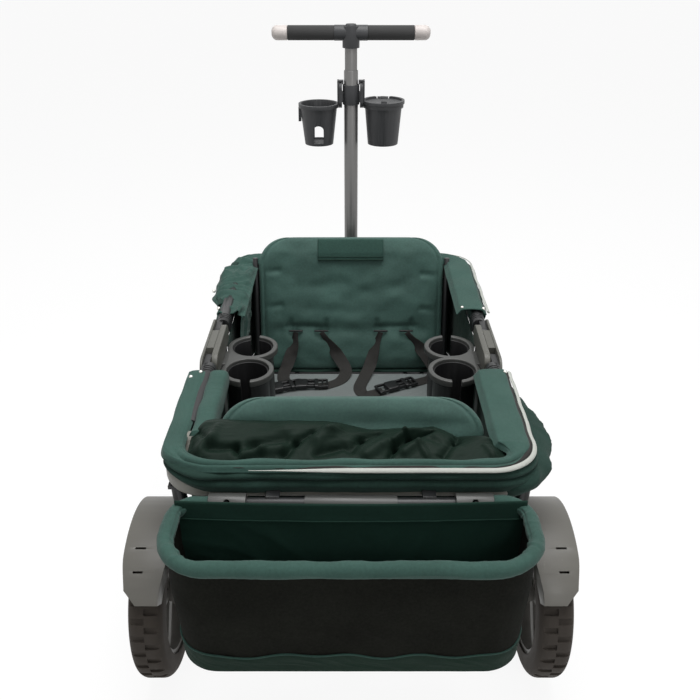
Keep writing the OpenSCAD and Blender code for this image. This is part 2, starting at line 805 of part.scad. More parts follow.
module rear_wheel_place(s) { translate([s * wheel_x, axle_y, axle_z]) children(); }
module rear_hub(s) {
    color("#44423e") rear_wheel_place(s)
        wheel_hub(rear_wheel_d / 2 * tyre_side_share, rear_tyre_w / 2, hub_r, rim_wall, axle_r + fit_gap);
}
module rear_tyre_left() { color("#2a2622") rear_wheel_place(-1) rear_tyre(); }
module rear_tyre_right() { color("#2a2622") rear_wheel_place(1) mirror([1, 0, 0]) rear_tyre(); }
module rear_hub_left() { rear_hub(-1); }
module rear_hub_right() { rear_hub(1); }

// Folding side rail between two pivots, with an eye at each end. Y = 0 is its first pivot.
module folding_rail() {
    difference() {
        union() {
            translate([rail_x, link_l - bar_start, rim_z]) rotate([90, 0, 0])
                linear_extrude(link_l - 2 * bar_start) oval_outline(rail_w, rail_h);
            side_plate(rail_x, rail_w / 2) link_outline([0, rim_z], [link_l, rim_z], eye_r);
            for (k = [0 : rail_rib_count - 1])
                translate([rail_x, link_l - rib_start - k * rail_rib_pitch, rim_z]) rotate([90, 0, 0])
                    linear_extrude(rail_rib_t) oval_outline(rail_w + 2 * rail_rib_h, rail_h + 2 * rail_rib_h);
        }
        for (y = [0, link_l]) x_rod(rail_x - overrun, eye_x1 + overrun, y, rim_z, pin_r + fit_gap);
    }
}
module rear_rails() { color("#4a4947") pair() at_rear() folding_rail(); }
module front_rails() { color("#4a4947") pair() at_front() folding_rail(); }

// Fabric flap that lies over a side rail and hangs on both sides of it, with shallow folds in its hems
function flap_section(wave) = concat(
    [for (k = [0 : 10]) let (a = 180 - 18 * k, s = sin(a))
        [(k < 5 ? flap_in : flap_out) * cos(a) + wave * (1 - s),
            rim_z + (k < 5 ? flap_hem_in : flap_hem_out) * (1 - s) + flap_top * s]],
    [[flap_out - flap_t + wave, rim_z + flap_hem_out], [rail_w * 2 / 3, rim_z + rail_h / 2 + seat_gap],
        [-rail_w * 2 / 3, rim_z + rail_h / 2 + seat_gap], [flap_t - flap_in + wave, rim_z + flap_hem_in]]);
module rail_cover() {
    l = link_l - flap_start - flap_end;
    skin([for (i = [flap_rings : -1 : 0]) let (y = flap_start + l * i / flap_rings)
        [for (q = flap_section(flap_fold * sin(360 * flap_fold_count * i / flap_rings)))
            [rail_x + q[0], y, q[1]]]]);
}
module rear_rail_covers() { color("#2a4a40") pair() at_rear() rail_cover(); }
module front_rail_covers() { color("#2a4a40") pair() at_front() rail_cover(); }

// Outer shell of a mid hinge, with the web that joins it to the inner plate
module hinge_housings() {
    a = [mid_a_y, rim_z];
    b = [mid_b_y, rim_z];
    reach = [shell_reach, 0];
    web_y0 = mid_a_y + eye_r + web_clear;
    web_y1 = mid_b_y - eye_r - web_clear;
    color("#8a8a82") pair() difference() {
        union() {
            side_plate(shell_x0, shell_t) link_outline(a - reach, b + reach, shell_r);
            side_plate(shell_x0, shell_t + shell_rib_t) link_outline(a - reach / 2, b + reach / 2, shell_rib_r);
            translate([stub_x0 + stub_t, web_y0, rim_z - plate_r])
                cube([shell_x0 - stub_x0 - stub_t + fit_gap, web_y1 - web_y0, 2 * plate_r]);
        }
        x_rod(shell_x0 - button_t, shell_x0 + shell_t + shell_rib_t + overrun, y_mid, rim_z, button_r + fit_gap);
    }
}

// Inner lock plate of a mid hinge, with its pins and the post that carries the middle of the floor
module hinge_side_plates() {
    color("#2b2c2c") pair() {
        side_plate(stub_x0, stub_t) link_outline([mid_a_y, rim_z], [mid_b_y, rim_z], plate_r);
        for (y = [mid_a_y, mid_b_y]) x_rod(stub_x0, eye_x1 + shell_gap / 2, y, rim_z, pin_r);
        translate([stub_x0 + post_in, y_mid - post_hw, board_bottom - post_foot_t])
            cube([stub_t - post_in, 2 * post_hw, ring_z - board_bottom + post_foot_t + overrun]);
        translate([board_hw - post_foot_lap, y_mid - post_hw, board_bottom - post_foot_t])
            cube([stub_x0 + stub_t - board_hw + post_foot_lap, 2 * post_hw, post_foot_t]);
    }
}

module hinge_button(s) {
    x0 = shell_x0 + shell_t + shell_rib_t + button_proud - button_t;
    color("#2b2c2c") translate([s < 0 ? -2 * x0 - button_t : 0, 0, 0]) x_rod(x0, x0 + button_t, y_mid, rim_z, button_r);
}
module hinge_button_left() { hinge_button(-1); }
module hinge_button_right() { hinge_button(1); }

// Figure of eight that holds two cups, open at its near and far ends
module cup_rims() {
    color("#8a8a82") pair() translate([0, y_mid, ring_z - ring_t]) difference() {
        union() {
            for (s = [-1, 1]) translate([ring_x, s * ring_pitch / 2, 0]) cylinder(r = ring_r, h = ring_t);
            translate([ring_x, -ring_tab_hw, 0]) cube([stub_x0 + post_in - ring_x, 2 * ring_tab_hw, ring_t]);
        }
        for (s = [-1, 1]) translate([ring_x, s * ring_pitch / 2, -overrun]) {
            cylinder(r = ring_hole_r, h = ring_t + 2 * overrun);
            translate([-ring_slot_w / 2, s > 0 ? 0 : -ring_r - overrun, 0])
                cube([ring_slot_w, ring_r + overrun, ring_t + 2 * overrun]);
        }
    }
}

module cup_sleeves() {
    r = ring_hole_r - sleeve_gap;
    color("#1d1f20") pair() for (s = [-1, 1]) translate([ring_x, y_mid + s * ring_pitch / 2, ring_z - sleeve_depth])
        difference() {
            union() {
                cylinder(r = r, h = sleeve_depth - ring_t / 2);
                translate([0, 0, sleeve_depth - ring_t - sleeve_lip_t]) cylinder(r = sleeve_lip_r, h = sleeve_lip_t);
            }
            translate([0, 0, sleeve_wall]) cylinder(r = r - sleeve_wall, h = sleeve_depth);
            translate([-ring_slot_w / 2, s > 0 ? 0 : -sleeve_lip_r - overrun, sleeve_depth / 3])
                cube([ring_slot_w, sleeve_lip_r + overrun, sleeve_depth]);
        }
}

// Folding floor board between two pivots, with eyes on both edges. Y = 0 is its first pivot.
module floor_board() {
    difference() {
        union() {
            translate([-board_hw, board_gap, board_bottom])
                cube([2 * board_hw, link_l - 2 * board_gap, board_up + board_down]);
            floor_eyes(0, 1);
            floor_eyes(link_l, -1);
        }
        floor_eye_bores(0);
        floor_eye_bores(link_l);
    }
}
module floor_mat(y0, y1) {
    translate([-mat_hw, y0, board_top]) cube([2 * mat_hw, y1 - y0, mat_t]);
}
module rear_board() { color("#3f4240") at_rear() floor_board(); }
module front_board() { color("#3f4240") at_front() floor_board(); }
module rear_mat() { color("#8d9494") at_rear() floor_mat(mat_gap, link_l - fold_line_gap / 2); }
module front_mat() { color("#8d9494") at_front() floor_mat(mat_gap, link_l - fold_line_gap / 2); }

module centre_board() {
    color("#3f4240") {
        translate([-board_hw, mid_a_y + board_gap, board_bottom])
            cube([2 * board_hw, centre_gap - 2 * board_gap, board_up + board_down]);
        translate([0, mid_a_y, 0]) mirror([0, 1, 0]) floor_ears(board_gap + overrun, open_pin_gap);
        translate([0, mid_b_y, 0]) floor_ears(board_gap + overrun, open_pin_gap);
    }
}
module centre_mat() { color("#8d9494") floor_mat(mid_a_y + fold_line_gap / 2, mid_b_y - fold_line_gap / 2); }

module front_legs() {
    top = [end_x + front_leg_out, y_front - front_leg_top_in, end_z - (saddle_h + end_h / 2 + saddle_gap) / 2];
    base = [caster_x, caster_y, caster_base_z + caster_housing_h - front_leg_sink];
    sill_y = front_pivot_y + sill_back;
    arm_x = boss_hw + bracket_gap;
    rise_y = handle_y - bracket_rise_in - bracket_eye_r;
    arm_z = floor_z - sill_drop;
    color("#2b2c2c") difference() {
        union() {
            pair() {
                saddle(top[1]);
                rod(base, top, leg_r);
                translate([caster_x, caster_y, caster_base_z]) cylinder(r = caster_housing_r, h = caster_housing_h);
                translate([caster_x - beam_w / 2, sill_y, floor_z - sill_drop - beam_h / 2])
                    cube([beam_w, caster_y - sill_y, beam_h]);
                side_plate(arm_x, bracket_t) {
                    link_outline([sill_y, arm_z], [rise_y, arm_z], bracket_h / 2);
                    link_outline([rise_y, arm_z], [handle_y, handle_pivot_z], bracket_h / 2);
                    translate([handle_y, handle_pivot_z]) circle(bracket_eye_r);
                }
            }
            x_rod(-caster_x, caster_x, sill_y, floor_z - sill_drop, sill_r);
            at_front() floor_ears(sill_back, 0);
            x_rod(-arm_x - bracket_t - pin_head_t, arm_x + bracket_t + pin_head_t, handle_y, handle_pivot_z,
                bracket_pin_r);
        }
        pair() translate([caster_x, caster_y, caster_base_z - overrun])
            cylinder(r = stem_r + fit_gap, h = caster_housing_h - leg_r + overrun);
    }
}

module seat_posts() {
    y = front_pivot_y + sill_back;
    z = floor_z - sill_drop + sill_r;
    l = front_seat_h * post_top_share;
    color("#191b1b") pair()
        rod([post_x, y, z + seat_gap],
            [post_x, y + l * sin(front_seat_lean), z + l * cos(front_seat_lean)], post_r);
}

// Fork of a front wheel: a stem in the housing, a crown, two arms and the wheel's axle. The stem is the origin.
module caster_fork(s) {
    z = front_wheel_d / 2;
    hw = front_tyre_w / 2 + fork_gap;
    top = caster_base_z - seat_gap;
    color("#55544f") translate([s * caster_x, caster_y, 0]) {
        translate([0, 0, top - overrun]) cylinder(r = stem_r, h = caster_housing_h - leg_r);
        translate([-hw - fork_t - overrun, -crown_w / 2, top - crown_t])
            cube([2 * (hw + fork_t + overrun), crown_w, crown_t]);
        for (x = [-hw - fork_t, hw]) side_plate(x, fork_t)
            link_outline([-caster_trail, z], [-caster_trail / 3, top - fork_eye_r - overrun], fork_eye_r);
        x_rod(-hw - fork_t - pin_head_t, hw + fork_t + pin_head_t, -caster_trail, z, front_axle_r);
    }
}
module caster_fork_left() { caster_fork(-1); }
module caster_fork_right() { caster_fork(1); }

module front_wheel_place(s) {
    translate([s * caster_x, caster_y - caster_trail, front_wheel_d / 2]) children();
}
module front_tyre() {
    r = front_wheel_d / 2;
    hw = front_tyre_w / 2;
    rotate([90, 0, 90]) rotate_extrude() difference() {
        union() {
            translate([r * tyre_side_share, -hw]) square([r * (1 - tyre_side_share) - tyre_shoulder_r / 2, 2 * hw]);
            translate([r * tyre_side_share, tyre_shoulder_r / 2 - hw])
                square([r * (1 - tyre_side_share), 2 * hw - tyre_shoulder_r]);
            for (s = [-1, 1]) translate([r - tyre_shoulder_r / 2, s * (hw - tyre_shoulder_r / 2)])
                circle(tyre_shoulder_r / 2);
        }
        for (p = front_groove_places) translate([r - front_tread_depth, front_tyre_w * p - front_groove_w / 2])
            square([front_tread_depth + overrun, front_groove_w]);
    }
}
module front_hub(s) {
    color("#44423e") front_wheel_place(s)
        wheel_hub(front_wheel_d / 2 * tyre_side_share, front_tyre_w / 2 + wheel_side_gap, front_hub_r,
            front_rim_wall, front_axle_r + fit_gap);
}
module front_tyre_left() { color("#2a2622") front_wheel_place(-1) front_tyre(); }
module front_tyre_right() { color("#2a2622") front_wheel_place(1) front_tyre(); }
module front_hub_left() { front_hub(-1); }
module front_hub_right() { front_hub(1); }

// Handle pole with its pivot boss and the bore that the upper tube slides in
module lower_pole() {
    bore_z = handle_pivot_z + pole_d;
    color("#1f2122") difference() {
        union() {
            translate([0, handle_y, handle_pivot_z]) cylinder(r = pole_d / 2, h = pole_top_z - handle_pivot_z);
            x_rod(-boss_hw, boss_hw, handle_y, handle_pivot_z, pole_d / 2);
        }
        translate([0, handle_y, bore_z]) cylinder(r = tube_d / 2 + fit_gap, h = pole_top_z);
        x_rod(-boss_hw - overrun, boss_hw + overrun, handle_y, handle_pivot_z, bracket_pin_r + fit_gap);
    }
}

// Collar on the pole with a hook plate on each side
module handle_collar() {
    z0 = collar_top_z - collar_h;
    color("#3a3b3c") {
        translate([0, handle_y, z0]) difference() {
            cylinder(r = pole_d / 2 + collar_wall, h = collar_h);
            translate([0, 0, -overrun]) cylinder(r = pole_d / 2 + fit_gap, h = collar_h + 2 * overrun);
        }
        pair() {
            side_plate(hook_x0, hook_t)
                link_outline([handle_y, collar_top_z - hook_h + hook_hw], [handle_y, collar_top_z + hook_rise - hook_hw],
                    hook_hw);
            translate([pole_d / 2 + collar_wall / 2, handle_y - hook_neck_hw, z0 + (collar_h - hook_neck_h) / 4])
                cube([hook_x0 - pole_d / 2, 2 * hook_neck_hw, hook_neck_h]);
        }
    }
}

// Telescopic tube and the T bar on top of it
module upper_tube() {
    z0 = pole_top_z - tube_in_l;
    grip_x1 = bar_w / 2 - cap_l;
    color("#2a2c2d") {
        difference() {
            translate([0, handle_y, z0]) cylinder(r = tube_d / 2, h = handle_z - bar_r / 2 - z0);
            translate([0, handle_y, z0 - overrun]) cylinder(r = tube_d / 2 - tube_wall, h = handle_z - stem_drop - z0);
        }
        x_rod(-grip_x1, grip_x1, handle_y, handle_z, bar_r);
    }
}

// Moulded T over the joint of tube and bar, with a well for the button in its top
module handle_housing() {
    top = handle_z + stem_rise;
    color("#2f3031") difference() {
        union() {
            translate([0, handle_y, handle_z - stem_drop]) cylinder(r = stem_r_out, h = stem_drop + stem_rise);
            x_rod(-arm_hw, arm_hw, handle_y, handle_z, arm_r);
        }
        translate([0, handle_y, handle_z - stem_drop - overrun])
            cylinder(r = tube_d / 2 + fit_gap, h = stem_drop + overrun);
        x_rod(-arm_hw - overrun, arm_hw + overrun, handle_y, handle_z, bar_r + fit_gap);
        translate([0, handle_y, top - button_well]) cylinder(r = top_button_r + top_button_gap, h = button_well + arm_r);
    }
}

module handle_button() {
    top = handle_z + stem_rise;
    color("#26282a") translate([0, handle_y, top - top_button_skirt])
        rotate_extrude() {
            square([top_button_r, top_button_skirt + top_button_rise - cap_step * 2]);
            square([top_button_r - cap_step * 2, top_button_skirt + top_button_rise]);
        }
}

module grips() {
    x1 = bar_w / 2 - cap_l;
    color("#3a3a3a") pair() difference() {
        x_rod(arm_hw, x1, handle_y, handle_z, grip_d / 2);
        x_rod(arm_hw - overrun, x1 + overrun, handle_y, handle_z, bar_r + fit_gap);
    }
}

module grip_caps() {
    r = grip_d / 2;
    color("#d5cdca") pair() translate([bar_w / 2 - cap_l, handle_y, handle_z]) rotate([0, 90, 0]) rotate_extrude() {
        square([r, cap_l - cap_nose_r]);
        square([r - cap_nose_r, cap_l]);
        translate([r - cap_nose_r, cap_l - cap_nose_r]) intersection() {
            circle(cap_nose_r);
            square(cap_nose_r);
        }
    }
}

// Tapered cup with a rim, a clip that drops over a hook plate, and its hollow. The pole is at X = 0.
module handle_cup() {
    r_top = cup_rim_r - cup_lip_in;
    z0 = cup_top_z - cup_h;
    clip_z = collar_top_z + hook_rise + seat_gap;
    difference() {
        union() {
            translate([cup_x, handle_y, z0]) cylinder(r1 = cup_foot_r, r2 = r_top, h = cup_h);
            translate([cup_x, handle_y, cup_top_z - cup_lip_h]) cylinder(r = cup_rim_r, h = cup_lip_h);
            translate([hook_x1 + seat_gap, handle_y - clip_hw, cup_top_z - cup_lip_h])
                cube([clip_t, 2 * clip_hw, clip_z + clip_t - cup_top_z + cup_lip_h]);
        }
        translate([cup_x, handle_y, z0 + cup_floor_t])
            cylinder(r1 = cup_foot_r - cup_wall, r2 = r_top - cup_wall, h = cup_h - cup_floor_t + fit_gap);
    }
    translate([hook_x0 - clip_lip_t - seat_gap, handle_y - clip_lip_hw, clip_z])
        cube([hook_x1 - hook_x0 + clip_lip_t + 2 * seat_gap + fit_gap, 2 * clip_lip_hw, clip_t]);
    translate([hook_x0 - clip_lip_t - seat_gap, handle_y - clip_lip_hw, clip_z - clip_lip_h])
        cube([clip_lip_t, 2 * clip_lip_hw, clip_lip_h + fit_gap]);
}

module parent_cup() {
    z0 = cup_top_z - cup_h;
    color("#3a3b3b") mirror([1, 0, 0]) {
        difference() {
            handle_cup();
            translate([cup_x - window_w / 2, handle_y - cup_rim_r, z0 + window_sill])
                cube([window_w, 2 * cup_rim_r, window_h - window_w / 2]);
            translate([cup_x, handle_y - cup_rim_r, z0 + window_sill + window_h - window_w / 2])
                rotate([-90, 0, 0]) cylinder(r = window_w / 2, h = 2 * cup_rim_r);
        }
        translate([cup_x + cup_rim_r - cup_lip_in * 2, handle_y - cup_rib_w / 2, cup_top_z - cup_lip_h - cup_rib_h])
            cube([cup_lip_in * 2, cup_rib_w, cup_rib_h + fit_gap]);
    }
}

function lid_hinge_y() = handle_y + cup_rim_r - lid_ear_in;
function lid_hinge_z() = cup_top_z + seat_gap + lid_ear_r;
module snack_cup() {
    color("#343536") {
        handle_cup();
        for (s = [-1, 1]) translate([cup_x + s * (lid_ear_w + seat_gap) - lid_ear_w / 2, lid_hinge_y(), lid_hinge_z()]) {
            rotate([0, 90, 0]) cylinder(r = lid_ear_r, h = lid_ear_w);
            translate([0, -lid_ear_r, -lid_ear_r - seat_gap - fit_gap])
                cube([lid_ear_w, 2 * lid_ear_r, lid_ear_r + seat_gap + fit_gap]);
        }
        x_rod(cup_x - lid_ear_w, cup_x + lid_ear_w, lid_hinge_y(), lid_hinge_z(), lid_pin_r);
    }
}

// Dished lid with a tab at the front, hinged at the back of the snack cup
module snack_lid() {
    z = cup_top_z + seat_gap;
    color("#3a3b3c") difference() {
        union() {
            translate([cup_x, handle_y, z]) rotate_extrude() difference() {
                square([cup_rim_r, lid_t + lid_dish]);
                translate([0, lid_t]) square([cup_rim_r - lid_t * 2, lid_dish + overrun]);
            }
            translate([cup_x - lid_tab_w / 2, handle_y - cup_rim_r + lid_t, z + lid_t])
                cube([lid_tab_w, lid_tab_l, lid_dish * 2]);
        }
        translate([cup_x - 2 * lid_ear_w, lid_hinge_y() - lid_ear_r - seat_gap, z - overrun])
            cube([4 * lid_ear_w, cup_rim_r, lid_t + lid_dish + 2 * overrun]);
        translate([hook_x0, handle_y - cup_rim_r, z - overrun])
            cube([hook_t + clip_t + 2 * seat_gap, 2 * cup_rim_r, lid_t + lid_dish + 2 * overrun]);
    }
    color("#3a3b3c") translate([cup_x, lid_hinge_y(), lid_hinge_z()]) rotate([0, 90, 0]) difference() {
        union() {
            cylinder(r = lid_ear_r, h = lid_ear_w, center = true);
            translate([-lid_ear_r / 2, -2 * lid_ear_r, -lid_ear_w / 2]) cube([lid_ear_r * 3 / 2, 2 * lid_ear_r, lid_ear_w]);
        }
        cylinder(r = lid_pin_r + fit_gap, h = lid_ear_w + 2 * overrun, center = true);
    }
}

// Webbing that leaves a slot in the front seat back and lies down on the floor mat
function strap_point(x0, t) =
    let (slot_h = front_seat_h * strap_slot_share, z1 = board_top + mat_t + seat_gap,
        y0 = front_pivot_y + front_seat_in + slot_h * sin(front_seat_lean) - seat_gap * 4,
        z0 = floor_z + front_seat_lift + slot_h * cos(front_seat_lean),
        y1 = front_pivot_y - mat_gap - strap_floor_in)
    [x0 - strap_spread * t * t, y0 + (y1 - y0) * (1 - (1 - t) * (1 - t)) * t + (y1 - y0) * t * (1 - t) / 2,
        z1 + (z0 - z1) * (1 - t) * (1 - t) * (1 + t / 2)];
module strap(x0) {
    skin([for (i = [0 : strap_steps]) let (p = strap_point(x0, i / strap_steps), hw = strap_w / 2)
        [p + [-hw, 0, 0], p + [-hw, 0, strap_t], p + [hw, 0, strap_t], p + [hw, 0, 0]]]);
}
module harness_straps() {
    color("#3a3835") pair() {
        strap(strap_outer_x);
        strap(strap_inner_x);
    }
}

// Side release buckle at the ends of a pair of straps
module harness_buckles() {
    y1 = front_pivot_y - mat_gap - strap_floor_in - seat_gap;
    x = (strap_outer_x + strap_inner_x) / 2 - strap_spread;
    color("#151515") pair() translate([x, y1 - buckle_w / 2, board_top + mat_t + seat_gap]) difference() {
        translate([-buckle_l / 2, -buckle_w / 2, 0]) cube([buckle_l, buckle_w, buckle_t]);
        for (s = [-1, 1]) {
            translate([-buckle_w / 4, s * (buckle_w / 2 + buckle_waist), -overrun])
                cylinder(r = 2 * buckle_waist, h = buckle_t + 2 * overrun);
            translate([s * (buckle_l / 2 - buckle_bar_w) - buckle_bar_w / 2, -buckle_w / 3, -overrun])
                cube([buckle_bar_w, buckle_w * 2 / 3, buckle_t + 2 * overrun]);
        }
    }
}

rear_end_rail();
rear_legs();
rear_axle();
rear_cross_tube();
basket_sockets();
fenders();
rear_seat_back();
rear_apron();
rear_rim_cover();
rear_end_wall();
brake_pedal();
basket_tube();
basket_bag();
rear_tyre_left();
rear_tyre_right();
rear_hub_left();
rear_hub_right();
rear_rails();
rear_rail_covers();
rear_side_walls();
hinge_housings();
hinge_side_plates();
cup_rims();
cup_sleeves();
centre_board();
centre_mat();
hinge_button_left();
hinge_button_right();
rear_board();
rear_mat();
front_board();
front_mat();
harness_straps();
harness_buckles();
front_rails();
front_rail_covers();
front_side_walls();
front_end_rail();
front_legs();
front_seat_back();
seat_posts();
front_rim_cover();
front_end_wall();
caster_fork_left();
caster_fork_right();
front_tyre_left();
front_tyre_right();
front_hub_left();
front_hub_right();
lower_pole();
handle_collar();
upper_tube();
handle_housing();
grips();
grip_caps();
handle_button();
parent_cup();
snack_cup();
snack_lid();
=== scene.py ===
# Stroller wagon: cloth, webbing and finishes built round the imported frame, in metres.
# +Y runs from the basket to the handle, +Z is up, left is -X seen from the basket.
import json
import math
import bpy
import bmesh
import numpy as np
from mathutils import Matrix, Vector


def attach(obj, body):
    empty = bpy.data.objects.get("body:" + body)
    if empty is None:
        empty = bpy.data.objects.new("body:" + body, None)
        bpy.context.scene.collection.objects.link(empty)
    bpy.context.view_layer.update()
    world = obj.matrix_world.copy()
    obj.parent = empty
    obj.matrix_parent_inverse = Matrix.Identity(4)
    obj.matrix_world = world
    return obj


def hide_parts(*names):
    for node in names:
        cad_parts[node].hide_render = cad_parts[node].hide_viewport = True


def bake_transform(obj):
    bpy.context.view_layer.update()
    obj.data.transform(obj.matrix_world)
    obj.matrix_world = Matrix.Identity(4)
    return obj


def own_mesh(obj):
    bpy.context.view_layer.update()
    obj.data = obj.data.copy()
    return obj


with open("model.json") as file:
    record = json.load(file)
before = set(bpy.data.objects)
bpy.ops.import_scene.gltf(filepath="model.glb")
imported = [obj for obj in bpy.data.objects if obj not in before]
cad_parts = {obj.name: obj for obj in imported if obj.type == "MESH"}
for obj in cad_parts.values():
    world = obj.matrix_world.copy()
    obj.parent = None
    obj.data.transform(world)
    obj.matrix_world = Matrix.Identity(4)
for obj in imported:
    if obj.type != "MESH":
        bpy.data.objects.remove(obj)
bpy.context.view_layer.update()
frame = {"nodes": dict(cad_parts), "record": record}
nodes = frame["nodes"]
bodyOf = {n: b for b, names in frame["record"]["behaviour"]["bodies"].items() for n in names}
slotOf = {p["node"]: p["material_slot"] for p in frame["record"]["subparts"]}
print("frame loaded:", len(nodes), "nodes")

# places that many pieces share, all from the frame
place = dict(wallX=0.2445, matTop=0.2275)


# shader helpers
def srgb(code):
    # linear colour of a hex code
    v = np.array([int(code[i:i + 2], 16) for i in (1, 3, 5)]) / 255
    return (*np.where(v <= 0.04045, v / 12.92, ((v + 0.055) / 1.055) ** 2.4).tolist(), 1.0)


def calc(tree, operation, a, b=None):
    # a Math node on numbers or sockets
    node = tree.nodes.new("ShaderNodeMath")
    node.operation = operation
    for socket, value in zip(node.inputs, (a, b)):
        if value is None:
            continue
        if isinstance(value, (int, float)):
            socket.default_value = value
        else:
            tree.links.new(value, socket)
    return node.outputs[0]


def startGroup(name, inputs, outputs):
    # an empty shader group with its sockets, each (label, kind, value) or (label, kind)
    group = bpy.data.node_groups.new(name, "ShaderNodeTree")
    for label, kind, value in inputs:
        group.interface.new_socket(label, in_out="INPUT", socket_type=kind).default_value = value
    for label, kind in outputs:
        group.interface.new_socket(label, in_out="OUTPUT", socket_type=kind)
    return group, group.nodes.new("NodeGroupInput"), group.nodes.new("NodeGroupOutput")


def noiseNode(tree, vector, scale, detail):
    # noise of 0 to 1, its scale a number or a socket
    node = tree.nodes.new("ShaderNodeTexNoise")
    node.inputs["Detail"].default_value = detail
    tree.links.new(vector, node.inputs["Vector"])
    if isinstance(scale, (int, float)):
        node.inputs["Scale"].default_value = scale
    else:
        tree.links.new(scale, node.inputs["Scale"])
    return node.outputs["Fac"]


def scaled(tree, color, factor):
    # a colour times a number
    node = tree.nodes.new("ShaderNodeVectorMath")
    node.operation = "SCALE"
    tree.links.new(color, node.inputs[0])
    tree.links.new(factor, node.inputs["Scale"])
    return node.outputs[0]


floatKind, colorKind = "NodeSocketFloat", "NodeSocketColor"


def makeWeaveGroup():
    # height = sin(2 pi u / pitch) * sin(2 pi v / pitch); colour = base * (1 + mottle * noise + thread * height)
    group, given, made = startGroup("clothWeave",
        [("Color", colorKind, (1, 1, 1, 1)), ("Pitch", floatKind, 0.0012), ("Mottle", floatKind, 0.2),
         ("Thread", floatKind, 0.06)], [("Color", colorKind), ("Height", floatKind)])
    uv = group.nodes.new("ShaderNodeUVMap")
    uv.uv_map = "clothUv"
    split = group.nodes.new("ShaderNodeSeparateXYZ")
    group.links.new(uv.outputs[0], split.inputs[0])
    turned = [calc(group, "MULTIPLY", split.outputs[k], 2 * math.pi) for k in (0, 1)]
    sines = [calc(group, "SINE", calc(group, "DIVIDE", way, given.outputs["Pitch"])) for way in turned]
    thread = calc(group, "MULTIPLY", *sines)
    coord = group.nodes.new("ShaderNodeTexCoord").outputs["Object"]
    broad = calc(group, "SUBTRACT", noiseNode(group, coord, 11, 5), 0.5)
    fine = calc(group, "SUBTRACT", noiseNode(group, coord, 240, 2), 0.5)
    mottle = calc(group, "ADD", calc(group, "MULTIPLY", broad, 1.6), fine)
    mottle = calc(group, "MULTIPLY", mottle, given.outputs["Mottle"])
    shade = calc(group, "ADD", calc(group, "ADD", mottle, 1.0), calc(group, "MULTIPLY", thread, given.outputs["Thread"]))
    group.links.new(scaled(group, given.outputs["Color"], shade), made.inputs["Color"])
    group.links.new(calc(group, "ADD", thread, calc(group, "MULTIPLY", fine, 1.2)), made.inputs["Height"])
    return group


def makeMouldGroup():
    # fine grain for the bump, broad noise for colour and gloss, and pale scuffs where two noises are both high
    group, given, made = startGroup("mouldedGrain",
        [("Color", colorKind, (1, 1, 1, 1)), ("Roughness", floatKind, 0.5), ("Grain", floatKind, 900.0),
         ("Variation", floatKind, 0.12), ("Scuff", floatKind, 0.3)],
        [("Color", colorKind), ("Roughness", floatKind), ("Height", floatKind)])
    coord = group.nodes.new("ShaderNodeTexCoord").outputs["Object"]
    grain = noiseNode(group, coord, given.outputs["Grain"], 2)
    broad = calc(group, "SUBTRACT", noiseNode(group, coord, 14, 4), 0.5)
    streak = calc(group, "SUBTRACT", noiseNode(group, coord, 130, 3), 0.62)
    patch = calc(group, "SUBTRACT", noiseNode(group, coord, 23, 2), 0.5)
    scuff = calc(group, "MULTIPLY", calc(group, "MAXIMUM", streak, 0.0), calc(group, "MAXIMUM", patch, 0.0))
    scuff = calc(group, "MULTIPLY", calc(group, "MULTIPLY", scuff, 30.0), given.outputs["Scuff"])
    shade = calc(group, "ADD", calc(group, "MULTIPLY", broad, given.outputs["Variation"]), calc(group, "ADD", scuff, 1.0))
    group.links.new(scaled(group, given.outputs["Color"], shade), made.inputs["Color"])
    rough = calc(group, "ADD", given.outputs["Roughness"], calc(group, "MULTIPLY", broad, 0.25))
    group.links.new(calc(group, "ADD", rough, calc(group, "MULTIPLY", scuff, 0.3)), made.inputs["Roughness"])
    group.links.new(grain, made.inputs["Height"])
    return group


weaveGroup, mouldGroup = makeWeaveGroup(), makeMouldGroup()


slotOfMaterial, slotMaterial = {}, {}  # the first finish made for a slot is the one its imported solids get


def startMaterial(name, slot, roughness, **plain):
    material = bpy.data.materials.new(name)
    material.use_nodes = True
    shader = material.node_tree.nodes["Principled BSDF"]
    shader.inputs["Roughness"].default_value = roughness
    for key, value in plain.items():
        shader.inputs[key].default_value = value
    if slot:
        slotOfMaterial[material] = slot
        slotMaterial.setdefault(slot, material)
    return material, material.node_tree, shader


def addGroup(tree, group, **values):
    # a shader group placed in a material, with its own values
    node = tree.nodes.new("ShaderNodeGroup")
    node.node_tree = group
    for key, value in values.items():
        node.inputs[key].default_value = value
    return node.outputs


def addBump(tree, shader, height, strength, distance):
    bump = tree.nodes.new("ShaderNodeBump")
    bump.inputs["Strength"].default_value = strength
    bump.inputs["Distance"].default_value = distance
    tree.links.new(height, bump.inputs["Height"])
    tree.links.new(bump.outputs[0], shader.inputs["Normal"])


def clothMaterial(name, slot, code, pitch=0.0013, mottle=0.25, thread=0.08, rough=0.85, bump=0.35, sheen=0.25,
                  gloss=0.25):
    plain = {"Sheen Weight": sheen, "Sheen Roughness": 0.5, "Specular IOR Level": gloss}
    material, tree, shader = startMaterial(name, slot, rough, **plain)
    weave = addGroup(tree, weaveGroup, Color=srgb(code), Pitch=pitch, Mottle=mottle, Thread=thread)
    tree.links.new(weave["Color"], shader.inputs["Base Color"])
    addBump(tree, shader, weave["Height"], bump, 0.0004)
    return material


def mouldMaterial(name, slot, code, rough=0.5, grain=900.0, variation=0.15, scuff=0.3, bump=0.15, **plain):
    material, tree, shader = startMaterial(name, slot, rough, **plain)
    mould = addGroup(tree, mouldGroup, Color=srgb(code), Roughness=rough, Grain=grain, Variation=variation, Scuff=scuff)
    tree.links.new(mould["Color"], shader.inputs["Base Color"])
    tree.links.new(mould["Roughness"], shader.inputs["Roughness"])
    addBump(tree, shader, mould["Height"], bump, 0.0003)
    return material


